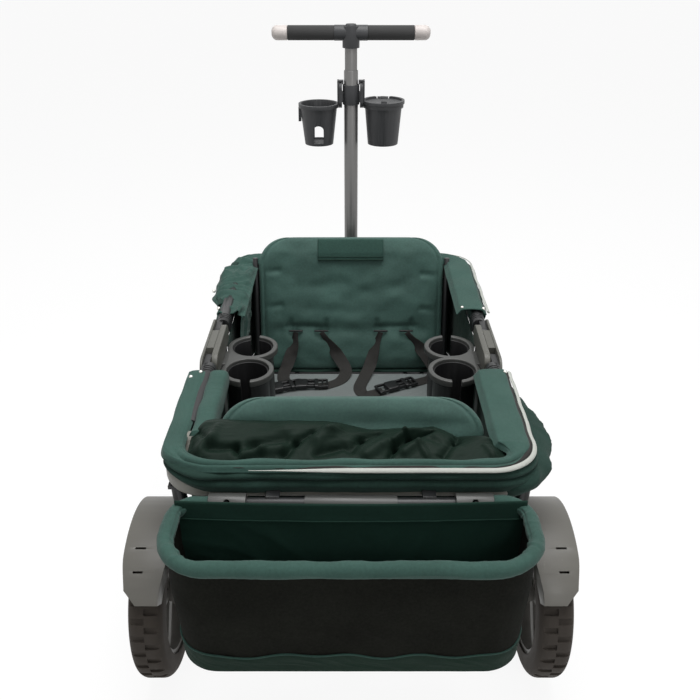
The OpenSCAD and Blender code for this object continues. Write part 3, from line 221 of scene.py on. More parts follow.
greenCloth = clothMaterial("greenCloth", "green_fabric", "#3b5951", mottle=0.42, sheen=0.10)
bandCloth = clothMaterial("bandCloth", "green_fabric", "#1b2f26", mottle=0.3, sheen=0.03, gloss=0.15)
flapCloth = clothMaterial("flapCloth", "green_fabric", "#314e46", mottle=0.5, sheen=0.06)
# a lighter copy of the green cloth for the seat pads, standing for the light falling on them: painted light
litPadCloth = clothMaterial("litPadCloth", "green_fabric", "#42625a", mottle=0.5, rough=0.62, sheen=0.12, gloss=0.4)
# a darker copy of the green cloth for the rolls under the rim and the skirts, standing for the shade they lie in:
# painted shade
paintedShadeCloth = clothMaterial("paintedShadeCloth", "green_fabric", "#273e37", mottle=0.5, sheen=0.04, gloss=0.18)
apronCloth = clothMaterial("apronCloth", "dark_fabric", "#17251e", pitch=0.0010, mottle=0.35, rough=0.5, bump=0.2,
                           sheen=0.0, gloss=0.09)
wallCloth = clothMaterial("wallCloth", "wall_fabric", "#1b332b", mottle=0.3, sheen=0.05)
linerCloth = clothMaterial("linerCloth", "wall_fabric", "#16332a", mottle=0.3, rough=0.8, sheen=0.0)
basketMesh = clothMaterial("basketMesh", "wall_fabric", "#1b1c18", pitch=0.0022, mottle=0.9, thread=0.5, rough=0.9,
                           bump=0.6, sheen=0.0, gloss=0.08)
matCloth = clothMaterial("matCloth", "floor_mat", "#757c7b", pitch=0.0016, mottle=0.16, rough=0.8)
webbing = clothMaterial("webbing", "webbing", "#2c2b29", pitch=0.0021, mottle=0.2, thread=0.2, rough=0.7, bump=0.6,
                        sheen=0.05)
palePiping = clothMaterial("palePiping", None, "#c3c6bf", pitch=0.0011, mottle=0.14, rough=0.5, bump=0.2, sheen=0.0)
mouldMaterial("greyMoulding", "grey_plastic", "#85847c", rough=0.45)
fenderMoulding = mouldMaterial("fenderMoulding", "fender_plastic", "#6a6862", rough=0.42, variation=0.22)
rimMoulding = mouldMaterial("rimMoulding", "grey_plastic", "#494a48", rough=0.4)
socketMoulding = mouldMaterial("socketMoulding", "grey_plastic", "#5d5d57", rough=0.45)
charcoalMoulding = mouldMaterial("charcoalMoulding", "charcoal_plastic", "#37383a", rough=0.5)
blackMoulding = mouldMaterial("blackMoulding", "black_plastic", "#19191a", rough=0.4)
chromeSnap = mouldMaterial("chromeSnap", None, "#d8d6d0", rough=0.16, scuff=0.0, bump=0.02, Metallic=1.0)
mouldMaterial("blackCoat", "black_metal", "#232425", rough=0.38, grain=1400.0, bump=0.08)
# a mid grey, much lighter than the near-black pole, so that the pole's colour carries the brightness of its highlight:
# painted highlight
mouldMaterial("poleCoatPaintedHighlight", "pole_metal", "#7a7978", rough=0.34, grain=1800.0, bump=0.03, scuff=0.15, Metallic=0.6)
mouldMaterial("foamGrip", "foam_grip", "#3a3a3a", rough=0.9, grain=520.0, bump=0.5, scuff=0.1)
mouldMaterial("paleCap", "cap_plastic", "#d3cbc7", rough=0.42, variation=0.05, scuff=0.0)
mouldMaterial("tyreRubber", "tyre_rubber", "#37312b", rough=0.85, grain=600.0, variation=0.35, scuff=0.6, bump=0.4)
mouldMaterial("hubMoulding", "wheel_plastic", "#5a5853", rough=0.5)
print("materials ready")


# mesh helpers
def smoothStep(low, high, x):
    # 0 up to low, 1 from high, 3 t^2 - 2 t^3 between
    t = np.clip((x - low) / (high - low), 0, 1)
    return t * t * (3 - 2 * t)


def waves(x, y, seed, scale, count=9):
    # smooth noise of about -1 to 1: a sum of sines in seeded directions, of wavelengths near scale
    rng = np.random.default_rng(seed)
    total = np.zeros(np.broadcast(x, y).shape)
    draws = [rng.uniform(low, high, count) for low, high in ((0, math.pi), (0, 6.28), (0.6, 1.7))]
    for angle, phase, stretch in zip(*draws):
        total = total + np.sin((x * math.cos(angle) + y * math.sin(angle)) * 6.283 / (scale * stretch) + phase)
    return total / math.sqrt(count)


def creases(x, y, lines):
    # each line (x0, y0, x1, y1, width, height) is a ridge whose height falls off with the distance from the segment
    total = np.zeros(np.broadcast(x, y).shape)
    for x0, y0, x1, y1, width, height in lines:
        dx, dy = x1 - x0, y1 - y0
        t = np.clip(((x - x0) * dx + (y - y0) * dy) / (dx * dx + dy * dy), 0, 1)
        total = total + height * np.exp(-((x - x0 - t * dx) ** 2 + (y - y0 - t * dy) ** 2) / width ** 2)
    return total


def placed(name, mesh, material):
    # an object for the mesh, in the scene and with its finish
    piece = bpy.data.objects.new(name, mesh)
    bpy.context.scene.collection.objects.link(piece)
    mesh.materials.append(material)
    return piece


def gridPiece(name, grids, material, closed=False, smooth=True):
    # a mesh through one grid of points or several, with clothUv in metres along both ways; a closed one is a capped tube
    grids = grids if isinstance(grids, list) else [grids]
    points, faces, uvs, base = [], [], [], 0
    for grid in grids:
        nu, nv = grid.shape[:2]
        iu, iv = np.arange(nu - 1)[:, None], np.arange(nv if closed else nv - 1)[None, :]
        ju, jv = iu + 1, iv + 1
        quads = np.stack([a * nv + b % nv for a, b in ((iu, iv), (ju, iv), (ju, jv), (iu, jv))], -1).reshape(-1, 4)
        alongU = np.linalg.norm(np.diff(np.concatenate([grid, grid[:1]]), axis=0), axis=2).mean(1)
        alongV = np.linalg.norm(np.diff(np.concatenate([grid, grid[:, :1]], 1), axis=1), axis=2).mean(0)
        u, v = np.concatenate([[0], alongU.cumsum()]), np.concatenate([[0], alongV.cumsum()])
        cornerU = np.stack(np.broadcast_arrays(u[iu], u[ju], u[ju], u[iu]), -1) * np.ones(iv.shape)[..., None]
        cornerV = np.stack([a * np.ones(iu.shape) for a in (v[iv], v[iv], v[jv], v[jv])], -1)
        uvs.append(np.stack([cornerU, cornerV], -1).reshape(-1, 2))
        faces += (quads + base).tolist()
        if closed:
            for k, order in ((0, -1), (nu - 1, 1)):
                ring = np.arange(nv)[::order]
                faces.append((k * nv + ring + base).tolist())
                uvs.append(grid[k, ring][:, [0, 1]] + grid[k, ring][:, [2, 2]])
        points.append(grid.reshape(-1, 3))
        base += nu * nv
    mesh = bpy.data.meshes.new(name)
    mesh.from_pydata(np.concatenate(points).tolist(), [], faces)
    layer = mesh.uv_layers.new(name="clothUv")
    layer.data.foreach_set("uv", np.concatenate(uvs).astype(np.float32).ravel())
    mesh.polygons.foreach_set("use_smooth", np.full(len(mesh.polygons), smooth))
    if closed:
        faceOutwards(mesh)
    mesh.update()
    return placed(name, mesh, material)


def faceOutwards(mesh, merge=0.0):
    # normals turned outwards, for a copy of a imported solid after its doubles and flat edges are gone
    work = bmesh.new()
    work.from_mesh(mesh)
    if merge:
        bmesh.ops.remove_doubles(work, verts=work.verts, dist=merge)
        bmesh.ops.dissolve_limit(work, angle_limit=math.radians(0.6), verts=work.verts, edges=work.edges)
    bmesh.ops.recalc_face_normals(work, faces=work.faces)
    work.to_mesh(mesh)
    work.free()


def thicken(piece, thickness):
    # half the thickness to each side of the surface
    solid = piece.modifiers.new("thickness", "SOLIDIFY")
    solid.thickness, solid.offset = thickness, 0.0
    return piece


def finishPiece(piece, body, replaced=()):
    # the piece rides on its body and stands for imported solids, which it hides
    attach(piece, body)
    if replaced:
        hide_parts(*replaced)
    return piece


def blendPiece(piece, end, replaced=()):
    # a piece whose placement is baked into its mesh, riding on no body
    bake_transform(piece)
    if replaced:
        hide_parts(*replaced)
    return piece


def closedPiece(name, grids, material, body, replaced=()):
    # capped tubes that ride on one body
    return finishPiece(gridPiece(name, grids, material, closed=True), body, replaced)


def softened(nodeName, material, width, shape=None):
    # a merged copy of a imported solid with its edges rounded
    mesh = nodes[nodeName].data.copy()
    mesh.materials.clear()
    faceOutwards(mesh, merge=2e-6)
    if shape:
        at = np.empty(len(mesh.vertices) * 3)
        mesh.vertices.foreach_get("co", at)
        mesh.vertices.foreach_set("co", shape(at.reshape(-1, 3)).ravel())
    mesh.polygons.foreach_set("use_smooth", np.full(len(mesh.polygons), True))
    piece = placed(nodeName + "Moulded", mesh, material)
    bevel = piece.modifiers.new("edges", "BEVEL")
    bevel.width, bevel.segments, bevel.limit_method = width, 3, "ANGLE"
    bevel.angle_limit, bevel.harden_normals = math.radians(32), True
    return finishPiece(piece, bodyOf[nodeName], [nodeName])


def runLength(path):
    # the way along the path to each of its points
    return np.concatenate([[0], np.linalg.norm(np.diff(path, axis=0), axis=1).cumsum()])


def unit(v):
    return v / np.linalg.norm(v, axis=1, keepdims=True)


def headings(path):
    # the unit direction of the path at each point
    return unit(np.gradient(path, axis=0))


def signedPower(w, power):
    # |w| to the power, with the sign of w
    return np.sign(w) * np.abs(w) ** power


def turns(count):
    # angles of a full turn, in one row
    return np.linspace(0, 2 * math.pi, count, endpoint=False)[None, :]


def along(points, count):
    # count points spaced evenly along a Catmull-Rom curve through the given points
    p = np.asarray(points, float)
    p = np.concatenate([2 * p[:1] - p[1:2], p, 2 * p[-1:] - p[-2:-1]])
    t = np.linspace(0, 1, 24, endpoint=False)[:, None, None]
    a, b, c, d = p[:-3], p[1:-2], p[2:-1], p[3:]
    curve = 0.5 * (2 * b + (c - a) * t + (2 * a - 5 * b + 4 * c - d) * t ** 2 + (3 * b - a - 3 * c + d) * t ** 3)
    curve = np.concatenate([curve.transpose(1, 0, 2).reshape(-1, p.shape[1]), p[-2:-1]])
    return evenly(curve, count)


def evenly(curve, count):
    # count points at equal steps of length along a curve
    length = runLength(curve)
    s = np.linspace(0, length[-1], count)
    return np.stack([np.interp(s, length, curve[:, k]) for k in range(curve.shape[1])], 1)


def tube(path, radius, sides=8):
    # circles of the given radius in planes across the path
    tangent = headings(path)
    up = np.where(np.abs(tangent[:, 2:3]) < 0.9, [[0, 0, 1.0]], [[0, 1.0, 0]])
    side = unit(np.cross(tangent, up))
    top = np.cross(side, tangent)
    a = turns(sides)[..., None]
    return path[:, None] + radius * (np.cos(a) * side[:, None] + np.sin(a) * top[:, None])


def ribbon(path, across, width, thick):
    # a flat strap: a rounded rectangle carried along the path, its width along the given direction at each point
    tangent = headings(path)
    across = unit(across - (across * tangent).sum(1, keepdims=True) * tangent)
    normal = np.cross(tangent, across)
    t, r = thick / 2, thick / 3
    side = np.array([-1, -1, 1, 1, 1, 1, -1, -1])[None, :]
    wide = side * (width[:, None] / 2 - np.array([0, r, r, 0, 0, r, r, 0])[None, :])
    high = np.array([-t + r, -t, -t, -t + r, t - r, t, t, t - r])[None, :, None]
    return path[:, None] + wide[..., None] * across[:, None] + high * normal[:, None]


def superBox(center, size, power, turn=0.0, nu=28, nv=14):
    # x, y, z = half size * signed powers of cosines and sines; a small power is a box with round edges
    a = turns(nu) + math.pi / nu
    b = np.linspace(-math.pi / 2 * 0.985, math.pi / 2 * 0.985, nv)[:, None]
    flat, high = signedPower(np.cos(b), power), signedPower(np.sin(b), power)
    local = np.stack([flat * signedPower(np.cos(a), power), flat * signedPower(np.sin(a), power), high + 0 * a], -1)
    x, y, z = np.moveaxis(local * np.asarray(size) / 2, -1, 0)
    c, s = math.cos(turn), math.sin(turn)
    return np.stack([c * x - s * y, s * x + c * y, z], -1) + np.asarray(center)


def revolve(profile, center, steps):
    # the profile's (radius, height) turned about an upright axis through center
    p, a = np.asarray(profile), turns(steps)
    return np.stack([p[:, :1] * np.cos(a), p[:, :1] * np.sin(a), p[:, 1:] + 0 * a], -1) + np.asarray(center)


def sideways(curve):
    # the heading of a flat curve turned by a quarter
    tangent = headings(curve)
    return np.stack([tangent[:, 1], -tangent[:, 0]], 1)


def uPath(xc, yStart, yEnd, radius, count):
    # down the left side, round the end of the tub and up the right side, with the outward direction at each point
    turn = 1 if yEnd < yStart else -1
    a = np.linspace(0, math.pi / 2, 16)
    left = np.stack([-xc + radius - radius * np.cos(a), yEnd + turn * radius * (1 - np.sin(a))], 1)
    curve = evenly(np.concatenate([[[-xc, yStart]], left, left[::-1] * [-1, 1], [[xc, yStart]]]), count)
    return curve, turn * sideways(curve)


def ridges(x, y, seed, scale, count=5, lean=0.0, spread=1.2):
    # sharp folds: a sum of (1 - |sin|) squared along seeded directions near lean, bent by slow waves
    rng = np.random.default_rng(seed)
    bend = scale * 0.35 * waves(x, y, seed + 50, scale * 2.6)
    total = np.zeros(np.broadcast(x, y).shape)
    for k in range(count):
        angle, phase = lean + rng.uniform(-spread, spread), rng.uniform(0, 6.28)
        run = (x * math.cos(angle) + y * math.sin(angle) + bend) * math.pi / (scale * rng.uniform(0.7, 1.5)) + phase
        total = total + rng.uniform(0.5, 1) * (1 - np.abs(np.sin(run))) ** 2
    return total / count * 1.6


def pathSection(path, outward, sections):
    # each row of sections (offset, height) set on the path: point + outward * offset, at that height
    return np.stack([path[:, None, 0] + outward[:, None, 0] * sections[..., 0],
                     path[:, None, 1] + outward[:, None, 1] * sections[..., 0], sections[..., 1]], -1)


def sheetPiece(name, grids, material, thick, carry, replaced=(), squash=None):
    # a sheet of cloth through its grid, carried by one body when carry names one and otherwise baked in place; squash
    # only gives it a mesh of its own
    piece = thicken(gridPiece(name, grids, material), thick)
    if squash:
        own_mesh(piece)
    (finishPiece if isinstance(carry, str) else blendPiece)(piece, carry, replaced)


# hard parts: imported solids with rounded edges
hardParts = dict(
    rear_end_rail=0.003, front_end_rail=0.003, rear_legs=0.0015, front_legs=0.0015, rear_axle=0.001,
    rear_cross_tube=0.0008, basket_sockets=0.0025, brake_pedal=0.0014, basket_tube=0.0005, rear_tyre_left=0.0022,
    rear_tyre_right=0.0022, front_tyre_left=0.0015, front_tyre_right=0.0015, rear_hub_left=0.0016,
    rear_hub_right=0.0016, front_hub_left=0.0014, front_hub_right=0.0014, rear_rails=0.003, front_rails=0.003,
    hinge_housings=0.004, hinge_side_plates=0.0016, cup_rims=0.0032, cup_sleeves=0.0008, centre_board=0.001,
    rear_board=0.001, front_board=0.001, hinge_button_left=0.0012, hinge_button_right=0.0012, seat_posts=0.001,
    caster_fork_left=0.0025, caster_fork_right=0.0025, lower_pole=0.0006, handle_collar=0.002, upper_tube=0.0006,
    handle_button=0.001, grips=0.0012, grip_caps=0.003, handle_housing=0.0018)
shades = dict(cup_rims=rimMoulding, brake_pedal=rimMoulding, basket_sockets=rimMoulding, hinge_housings=socketMoulding,
              hinge_side_plates=socketMoulding, handle_housing=charcoalMoulding)
for nodeName, width in hardParts.items():
    softened(nodeName, shades.get(nodeName, slotMaterial[slotOf[nodeName]]), width)
fenderForm = dict(middle=0.327, narrower=0.24, taperFrom=-0.365, taperTo=-0.4234)
cupForm = dict(axis=(0.0723, 0.510), mouth=0.800, foot=0.712, shorter=0.10)
lidForm = dict(radius=0.0435, wider=1.05, base=0.8180, dome=0.004)


def taperFender(at):
    # narrower towards the low rear end: x drawn in to the fender's middle
    f = fenderForm
    middle = np.sign(at[:, 0]) * f["middle"]
    share = 1 - f["narrower"] * smoothStep(f["taperFrom"], f["taperTo"], at[:, 1])
    return np.stack([middle + (at[:, 0] - middle) * share, at[:, 1], at[:, 2]], 1)


def fuller(widen):
    # a stouter cup: its foot raised and its radius grown by a share that rises from the mouth down
    c = cupForm

    def shape(at):
        share = np.clip((c["mouth"] - at[:, 2:]) / (c["mouth"] - c["foot"]), 0, 1)
        middle = np.stack([np.sign(at[:, 0]) * c["axis"][0], np.full(len(at), c["axis"][1])], 1)
        flat = middle + (at[:, :2] - middle) * (1 + widen * share)
        return np.concatenate([flat, at[:, 2:] + c["shorter"] * (c["mouth"] - c["foot"]) * share], 1)
    return shape


def domedLid(at):
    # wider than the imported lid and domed: the rise falls off with the square of the radius
    middle, f = np.array(cupForm["axis"]), lidForm
    away = at[:, :2] - middle
    reach = np.clip(np.linalg.norm(away, axis=1, keepdims=True) / f["radius"], 0, 1)
    rise = np.where(at[:, 2:] > f["base"], f["dome"] * (1 - reach ** 2), 0)
    return np.concatenate([middle + away * f["wider"], at[:, 2:] + rise], 1)


softened("fenders", fenderMoulding, 0.0026, taperFender)
softened("parent_cup", charcoalMoulding, 0.0009, fuller(0.03))
softened("snack_cup", charcoalMoulding, 0.0011, fuller(0.10))
softened("snack_lid", charcoalMoulding, 0.0014, domedLid)
print("hard parts rounded:", len(hardParts) + 4)


# cloth round the rim of the tub
rimForm = dict(halfWidth=0.262, radius=0.056, count=340, thick=0.0022, across=36, top=0.4705, arch=0.0032, turnDown=0.010,
               hem=0.006, hemWidth=0.0012, gap=0.0072, gapWidth=0.0042, gapDepth=0.0085)
rearSpan = ((0, -0.312, 0.45), (0, -0.262, 0.45))
frontSpan = ((0, 0.354, 0.45), (0, 0.304, 0.45))
rearFold = ("rear_frame", "rear_wing"), rearSpan  # the two bodies that rim cloth runs across, and where it goes over
frontFold = ("front_frame", "front_wing"), frontSpan


def rimLine(yStart, yEnd):
    # plan of one end's rim, its outward direction and the way along it
    path, outward = uPath(rimForm["halfWidth"], yStart, yEnd, rimForm["radius"], rimForm["count"])
    return path, outward, runLength(path)


def bend(outward):
    # 0 on the straights and 1 in the middle of a corner
    return np.sin(np.pi * np.clip(np.abs(outward[:, 1:2]), 0, 1))


def bell(x, width):
    # 1 at x = 0, falling off as e to the minus (x / width) squared
    return np.exp(-(x / width) ** 2)


def cutLine(line, span):
    # the part of a line between two shares of its length
    path, outward, s = line
    keep = (s >= span[0] * s[-1]) & (s <= span[1] * s[-1])
    return path[keep], outward[keep], s[keep] - s[keep][0]


def pushed(grid, lift):
    # each point moved by lift along the grid's upward or outward normal
    normal = np.cross(np.gradient(grid, axis=0), np.gradient(grid, axis=1))
    normal /= np.linalg.norm(normal, axis=2, keepdims=True) + 1e-12
    return grid + normal * np.sign(np.median(normal[..., 2])) * lift[..., None]


def edgeShares(outward, path):
    # how far each point of the path belongs to the left side, the end and the right side
    end = smoothStep(0.25, 0.97, np.abs(outward[:, 1]))[:, None]
    left = (path[:, :1] < 0) * (1 - end)
    return left, end, (path[:, :1] >= 0) * (1 - end)


def makeBand(name, line, edges, end, replaced, seed, crumple):
    # a ribbon laid on the rim: height = a low arch from edge to edge with turned-down hems, plus puckers at the corners
    path, outward, s = line
    f, shares, ss = rimForm, edgeShares(outward, path), s[:, None]
    inner, outer = (sum(w * e[k] for w, e in zip(shares, edges)) for k in (0, 1))
    if crumple:
        slack = 0.024 * smoothStep(0.27, 0.155, path[:, 1:2]) + 0.004 * waves(ss, 0 * ss, seed + 3, 0.07)
        outer = outer - shares[0] * slack
    t = np.linspace(0, 1, f["across"])[None, :]
    width = outer - inner
    offset = inner + width * t
    fall = f["turnDown"] * (smoothStep(0.16, 0.0, t) * smoothStep(0.02, 0.05, width) + smoothStep(0.86, 1.0, t))
    height = f["top"] + f["arch"] * np.sin(np.pi * t) - fall - 0.0035 * shares[0] - 0.002 * shares[1] * (1 - t)
    pucker = (ridges(ss, t * 0.03, seed + 1, 0.022, lean=0.1, spread=0.4) - 0.4) * bend(outward) ** 0.7
    seams = bell(offset - inner - f["hem"], f["hemWidth"]) + bell(outer - offset - f["hem"], f["hemWidth"])
    lift = 0.0010 * waves(ss, t * 0.08, seed, 0.085) + 0.0011 * pucker - 0.0008 * seams
    lift = lift - f["gapDepth"] * shares[1] * bell(offset - f["gap"], f["gapWidth"])
    if crumple:
        fold = 0.75 * ridges(ss, offset, seed + 9, 0.075, 4, lean=0.7, spread=0.6) - 0.45
        fold = (fold + 0.3 * ridges(ss, offset, seed + 8, 0.034, lean=0.4, spread=0.9)) * smoothStep(0, 0.15, t)
        lift = lift + shares[0] * (crumple * fold * smoothStep(1.02, 0.8, t) - 0.014 * smoothStep(0.6, 1.0, t))
    grid = pushed(pathSection(path, outward, np.stack([offset, height], -1)), lift)
    sheetPiece(name, grid, greenCloth, f["thick"], end, replaced)


rearLine, frontLine = rimLine(-0.103, -0.373), rimLine(0.145, 0.458)
makeBand("rearRimBand", rearLine, ((-0.0095, 0.0260), (-0.0080, 0.0140), (-0.0470, 0.0135)), rearFold,
         ["rear_rim_cover", "rear_rail_covers"], 4, 0.0)
makeBand("frontRimBand", frontLine, ((-0.046, 0.044), (-0.030, 0.016), (-0.047, 0.0135)), frontFold,
         ["front_rim_cover", "front_rail_covers"], 11, 0.026)

# the run is the rolls' section, as (offset from the rim's path, height)
rollForm = dict(across=40, thick=0.0018, span=(0.05, 0.965), top=0.4640,
                run=[(0.004, 0.4600), (0.0110, 0.4595), (0.0170, 0.4560), (0.0165, 0.4510), (0.0090, 0.4482),
                     (0.0085, 0.4466), (0.0155, 0.4450), (0.0190, 0.4400), (0.0172, 0.4335), (0.0150, 0.4275),
                     (0.0100, 0.4240)])


def makeRolls(name, line, end, seed, swell):
    # two plump rolls of cloth under the band's edge: the run of points carried along the path, fuller at the corners
    d = rollForm
    path, outward, s = cutLine(line, d["span"])
    run = along(d["run"], d["across"])[None]
    ss, t = s[:, None], np.linspace(0, 1, d["across"])[None, :]
    corner = bend(outward) ** 0.7
    left = corner * (path[:, :1] < 0)
    ends = smoothStep(0, 0.03, ss) * smoothStep(0, 0.03, s[-1] - ss)
    fold = ridges(ss, t * 0.05, seed, 0.05, lean=0.35, spread=0.4) - 0.4
    lift = 0.0014 * waves(ss, t * 0.1, seed + 2, 0.08) + swell * (1 + corner) * fold * np.sin(np.pi * t)
    out = (run[..., 0] - 0.006) * (1 + 0.55 * corner) + 0.006 + lift * ends
    high = d["top"] - (d["top"] - run[..., 1]) * (1 - 0.44 * left) + 0.3 * lift
    grid = pathSection(path, outward, np.stack([out, high], -1))
    # the rolls take the darker copy of the green cloth: painted shade
    sheetPiece(name, grid, paintedShadeCloth, d["thick"], end)


makeRolls("rearRimRolls", rearLine, rearFold, 51, 0.0012)
makeRolls("frontRimRolls", frontLine, frontFold, 54, 0.0016)
pipingForm = dict(halfWidth=0.0034, halfHeight=0.0021, tilt=0.0016, thinStart=0.12, fullAfter=0.16)


def makePiping(name, line, span, offset, height, end, seed, material=palePiping):
    # a flat cord along part of the rim's path, thin at its start, with a slight wander
    f, a = pipingForm, turns(14)
    path, outward, s = cutLine(line, span)
    wander = 0.0006 * waves(s, 0 * s, seed, 0.07)[:, None]
    full = f["thinStart"] + (1 - f["thinStart"]) * smoothStep(0, f["fullAfter"], s)[:, None]
    section = [offset + wander + f["halfWidth"] * full * np.cos(a),
               height + 0.6 * wander + full * (f["halfHeight"] * np.sin(a) - f["tilt"] * np.cos(a))]
    blendPiece(gridPiece(name, pathSection(path, outward, np.stack(section, -1)), material, closed=True), end)


makePiping("rearPiping", rearLine, (0.352, 1.0), 0.0165, 0.4665, rearFold, 21)
# a dark webbing cord laid in the groove between the band's hem and the piping, darkening that line
makePiping("rearDarkCord", rearLine, (0.30, 1.0), 0.0098, 0.4672, rearFold, 23, webbing)
makePiping("frontPiping", frontLine, (0.66, 1.0), 0.0165, 0.4665, frontFold, 22)
sleeveForm = dict(y=(-0.103, -0.296), middle=(-0.2335, 0.4495), half=(0.0180, 0.0225), power=0.62, fill=0.6)


def makeSleeve():
    # the padded sleeve on the left rail: a squarish tube round the rail, its radius rippled
    f, y, a = sleeveForm, np.linspace(*sleeveForm["y"], 120)[:, None], turns(48)
    ripple = 1 + 0.05 * waves(y, a * 0.02, 57, 0.06) + 0.03 * (ridges(y, a * 0.01, 58, 0.02, spread=0.4) - 0.4)
    x, z = (middle + half * signedPower(w, f["power"]) * ripple
            for middle, half, w in zip(f["middle"], f["half"], (np.cos(a), np.sin(a))))
    piece = gridPiece("leftRailSleeve", np.stack([x, y + 0 * a, z], -1), greenCloth, closed=True)
    blendPiece(piece, rearFold)


makeSleeve()
skirtForm = dict(top=(0.0120, 0.4500), bottom=(0.002, 0.3980), across=34, thick=0.0018)


def makeSkirt(name, line, span, bulge, end, seed):
    # offset = straight run from top to bottom + bulge * sin(pi v) * (1 + folds), strongest in the middle of the run
    path, outward, s = cutLine(line, span)
    d, v, ss = skirtForm, np.linspace(0, 1, skirtForm["across"])[None, :], s[:, None]
    middle = np.sin(np.pi * np.clip(ss / s[-1], 0, 1)) ** 0.6
    fold = ridges(ss, v * 0.09, seed, 0.10, 4, lean=0.8, spread=0.4) - 0.6
    fold = fold + 0.4 * ridges(ss, v * 0.05, seed + 5, 0.045, lean=0.5, spread=0.5)
    offset, height = (a * (1 - v) + b * v for a, b in zip(d["top"], d["bottom"]))
    offset = offset + bulge * middle * np.sin(np.pi * v ** 0.8) * (1 + 0.42 * fold)
    offset = offset + 0.003 * fold * middle * smoothStep(0, 0.3, v)
    grid = pathSection(path, outward, np.stack([offset, height + 0.006 * fold * v * middle], -1))
    # the skirts take the darker copy of the green cloth: painted shade
    sheetPiece(name, grid, paintedShadeCloth, d["thick"], end)


makeSkirt("rightSkirt", rearLine, (0.715, 0.995), 0.052, rearFold, 31)
makeSkirt("leftSkirt", rearLine, (0.015, 0.20), 0.006, rearFold, 32)
makeSkirt("frontLeftSkirt", frontLine, (0.02, 0.27), 0.014, frontFold, 33)
makeSkirt("frontRightSkirt", frontLine, (0.73, 0.98), 0.006, frontFold, 34)
print("rim cloth made")

# seat backs
seatForm = dict(halfWidth=0.214, thick=0.032, footRadius=0.030, edgeShare=0.3, round=6.667, rings=90, across=120,
                tuck=1.7)
frontSeat = dict(base=(0, 0.359, 0.2173), lean=11.5, height=0.315, topRadius=0.068)
rearSeat = dict(base=(0, -0.323, 0.21854), lean=15.0, height=0.295, topRadius=0.072)


def cornerIn(d, r):
    # how far a corner of radius r draws the side in, at the distance d from the end
    return np.where(d >= r, 0, r - np.sqrt(np.maximum(0, r * r - (r - d) ** 2)))


def padPoint(seat, x, depth, h):
    # a point of the leaning pad: x across, depth along its face's normal and h up its face
    a = math.radians(seat["lean"])
    bx, by, bz = seat["base"]
    return np.stack([bx + x, by + depth * math.cos(a) + h * math.sin(a), bz - depth * math.sin(a) + h * math.cos(a)], -1)


def padHalf(seat, h):
    # half width and half thickness of the pad at the height h: round corners, thinner towards both ends
    f = seatForm
    edge = np.minimum(h, seat["height"] - h)
    half = f["halfWidth"] - cornerIn(seat["height"] - h, seat["topRadius"]) - cornerIn(h, f["footRadius"])
    deep = f["thick"] / 2 * (f["edgeShare"] + (1 - f["edgeShare"]) * np.sqrt(np.clip(edge / f["thick"], 0, 1)))
    return half, deep


def faceDepth(seat, x, h):
    # depth of the pad's front face before its dents
    half, deep = padHalf(seat, h)
    return -deep * np.sqrt(np.clip(1 - np.abs(x / half) ** seatForm["round"], 0, 1))


def makeSeat(name, seat, dents, body, node, seed):
    # rings from foot to top; each is a flattened oval, drawn in at the edges, with soft dents and tucks on both faces
    f = seatForm
    h = seat["height"] * (1 - np.cos(np.pi * np.linspace(0.012, 0.988, f["rings"]))) / 2
    w = np.linspace(-1, 1, f["across"])
    share = np.sin(np.pi / 2 * w)
    share = np.concatenate([share, share[::-1][1:-1]])[None, :]
    face = np.concatenate([-np.ones(f["across"]), np.ones(f["across"] - 2)])[None, :]
    half, deep = padHalf(seat, h[:, None])
    x = half * share
    depth = face * deep * np.sqrt(np.clip(1 - np.abs(share) ** f["round"], 0, 1))
    hh = h[:, None] * np.ones_like(x)
    inner = smoothStep(0.0, 0.05, half - np.abs(x)) * smoothStep(0, 0.03, np.minimum(hh, seat["height"] - hh))
    dent = 0.0016 * waves(x, hh, seed, 0.13) + 0.0006 * waves(x, hh, seed + 1, 0.045)
    dent = dent + f["tuck"] * creases(x, hh, dents)
    seam = -0.0022 * bell(half - np.abs(x) - 0.011, 0.0035) * smoothStep(0.02, 0.06, hh)
    grid = padPoint(seat, x, depth + face * (dent * inner + seam), hh)
    # the pad takes the lighter copy of the green cloth: painted light
    closedPiece(name, grid, litPadCloth, body, [node])


# tucks round the strap slots and the centre line of the front pad, as (x0, h0, x1, h1, width, height)
slotPlaces, slotHeight = (-0.130, -0.070, 0.070, 0.130), 0.0965
frontDents = [(-0.165, 0.098, 0.165, 0.098, 0.016, -0.0030), (-0.12, 0.20, -0.02, 0.212, 0.014, -0.0018),
              (0.03, 0.19, 0.12, 0.205, 0.015, -0.0018), (-0.10, 0.15, 0.02, 0.142, 0.014, -0.0016),
              (-0.205, 0.236, -0.168, 0.240, 0.006, -0.0030), (0.165, 0.232, 0.205, 0.227, 0.006, -0.0030),
              (-0.205, 0.152, -0.165, 0.158, 0.007, -0.0030), (0.165, 0.150, 0.205, 0.143, 0.007, -0.0030),
              (-0.150, 0.108, -0.060, 0.106, 0.005, -0.0030), (0.060, 0.106, 0.150, 0.108, 0.005, -0.0030)]
frontDents += [(x, 0.095, x, 0.083, 0.008, -0.0030) for x in slotPlaces]
frontDents += [(x, 0.122, x, 0.090, 0.004, -0.0035) for x in (-0.142, -0.060, 0.060, 0.142)]
makeSeat("frontSeatPad", frontSeat, frontDents, "front_frame", "front_seat_back", 5)
makeSeat("rearSeatPad", rearSeat, [(-0.2, 0.26, 0.2, 0.255, 0.014, -0.002)], "rear_frame", "rear_seat_back", 8)


def onFace(seat, x, h, proud):
    # points standing proud of the pad's front face
    x, h = np.asarray(x), np.asarray(h)
    return padPoint(seat, x, faceDepth(seat, x, h) - proud, h)


pocket = dict(x=(-0.076, 0.074), h=(0.268, 0.3125), proud=0.0030, thick=0.0016, lower=0.003,
              bindings=((0.2665, 0.0065), (0.2735, 0.0055)))  # each cord's height and how far it stands proud


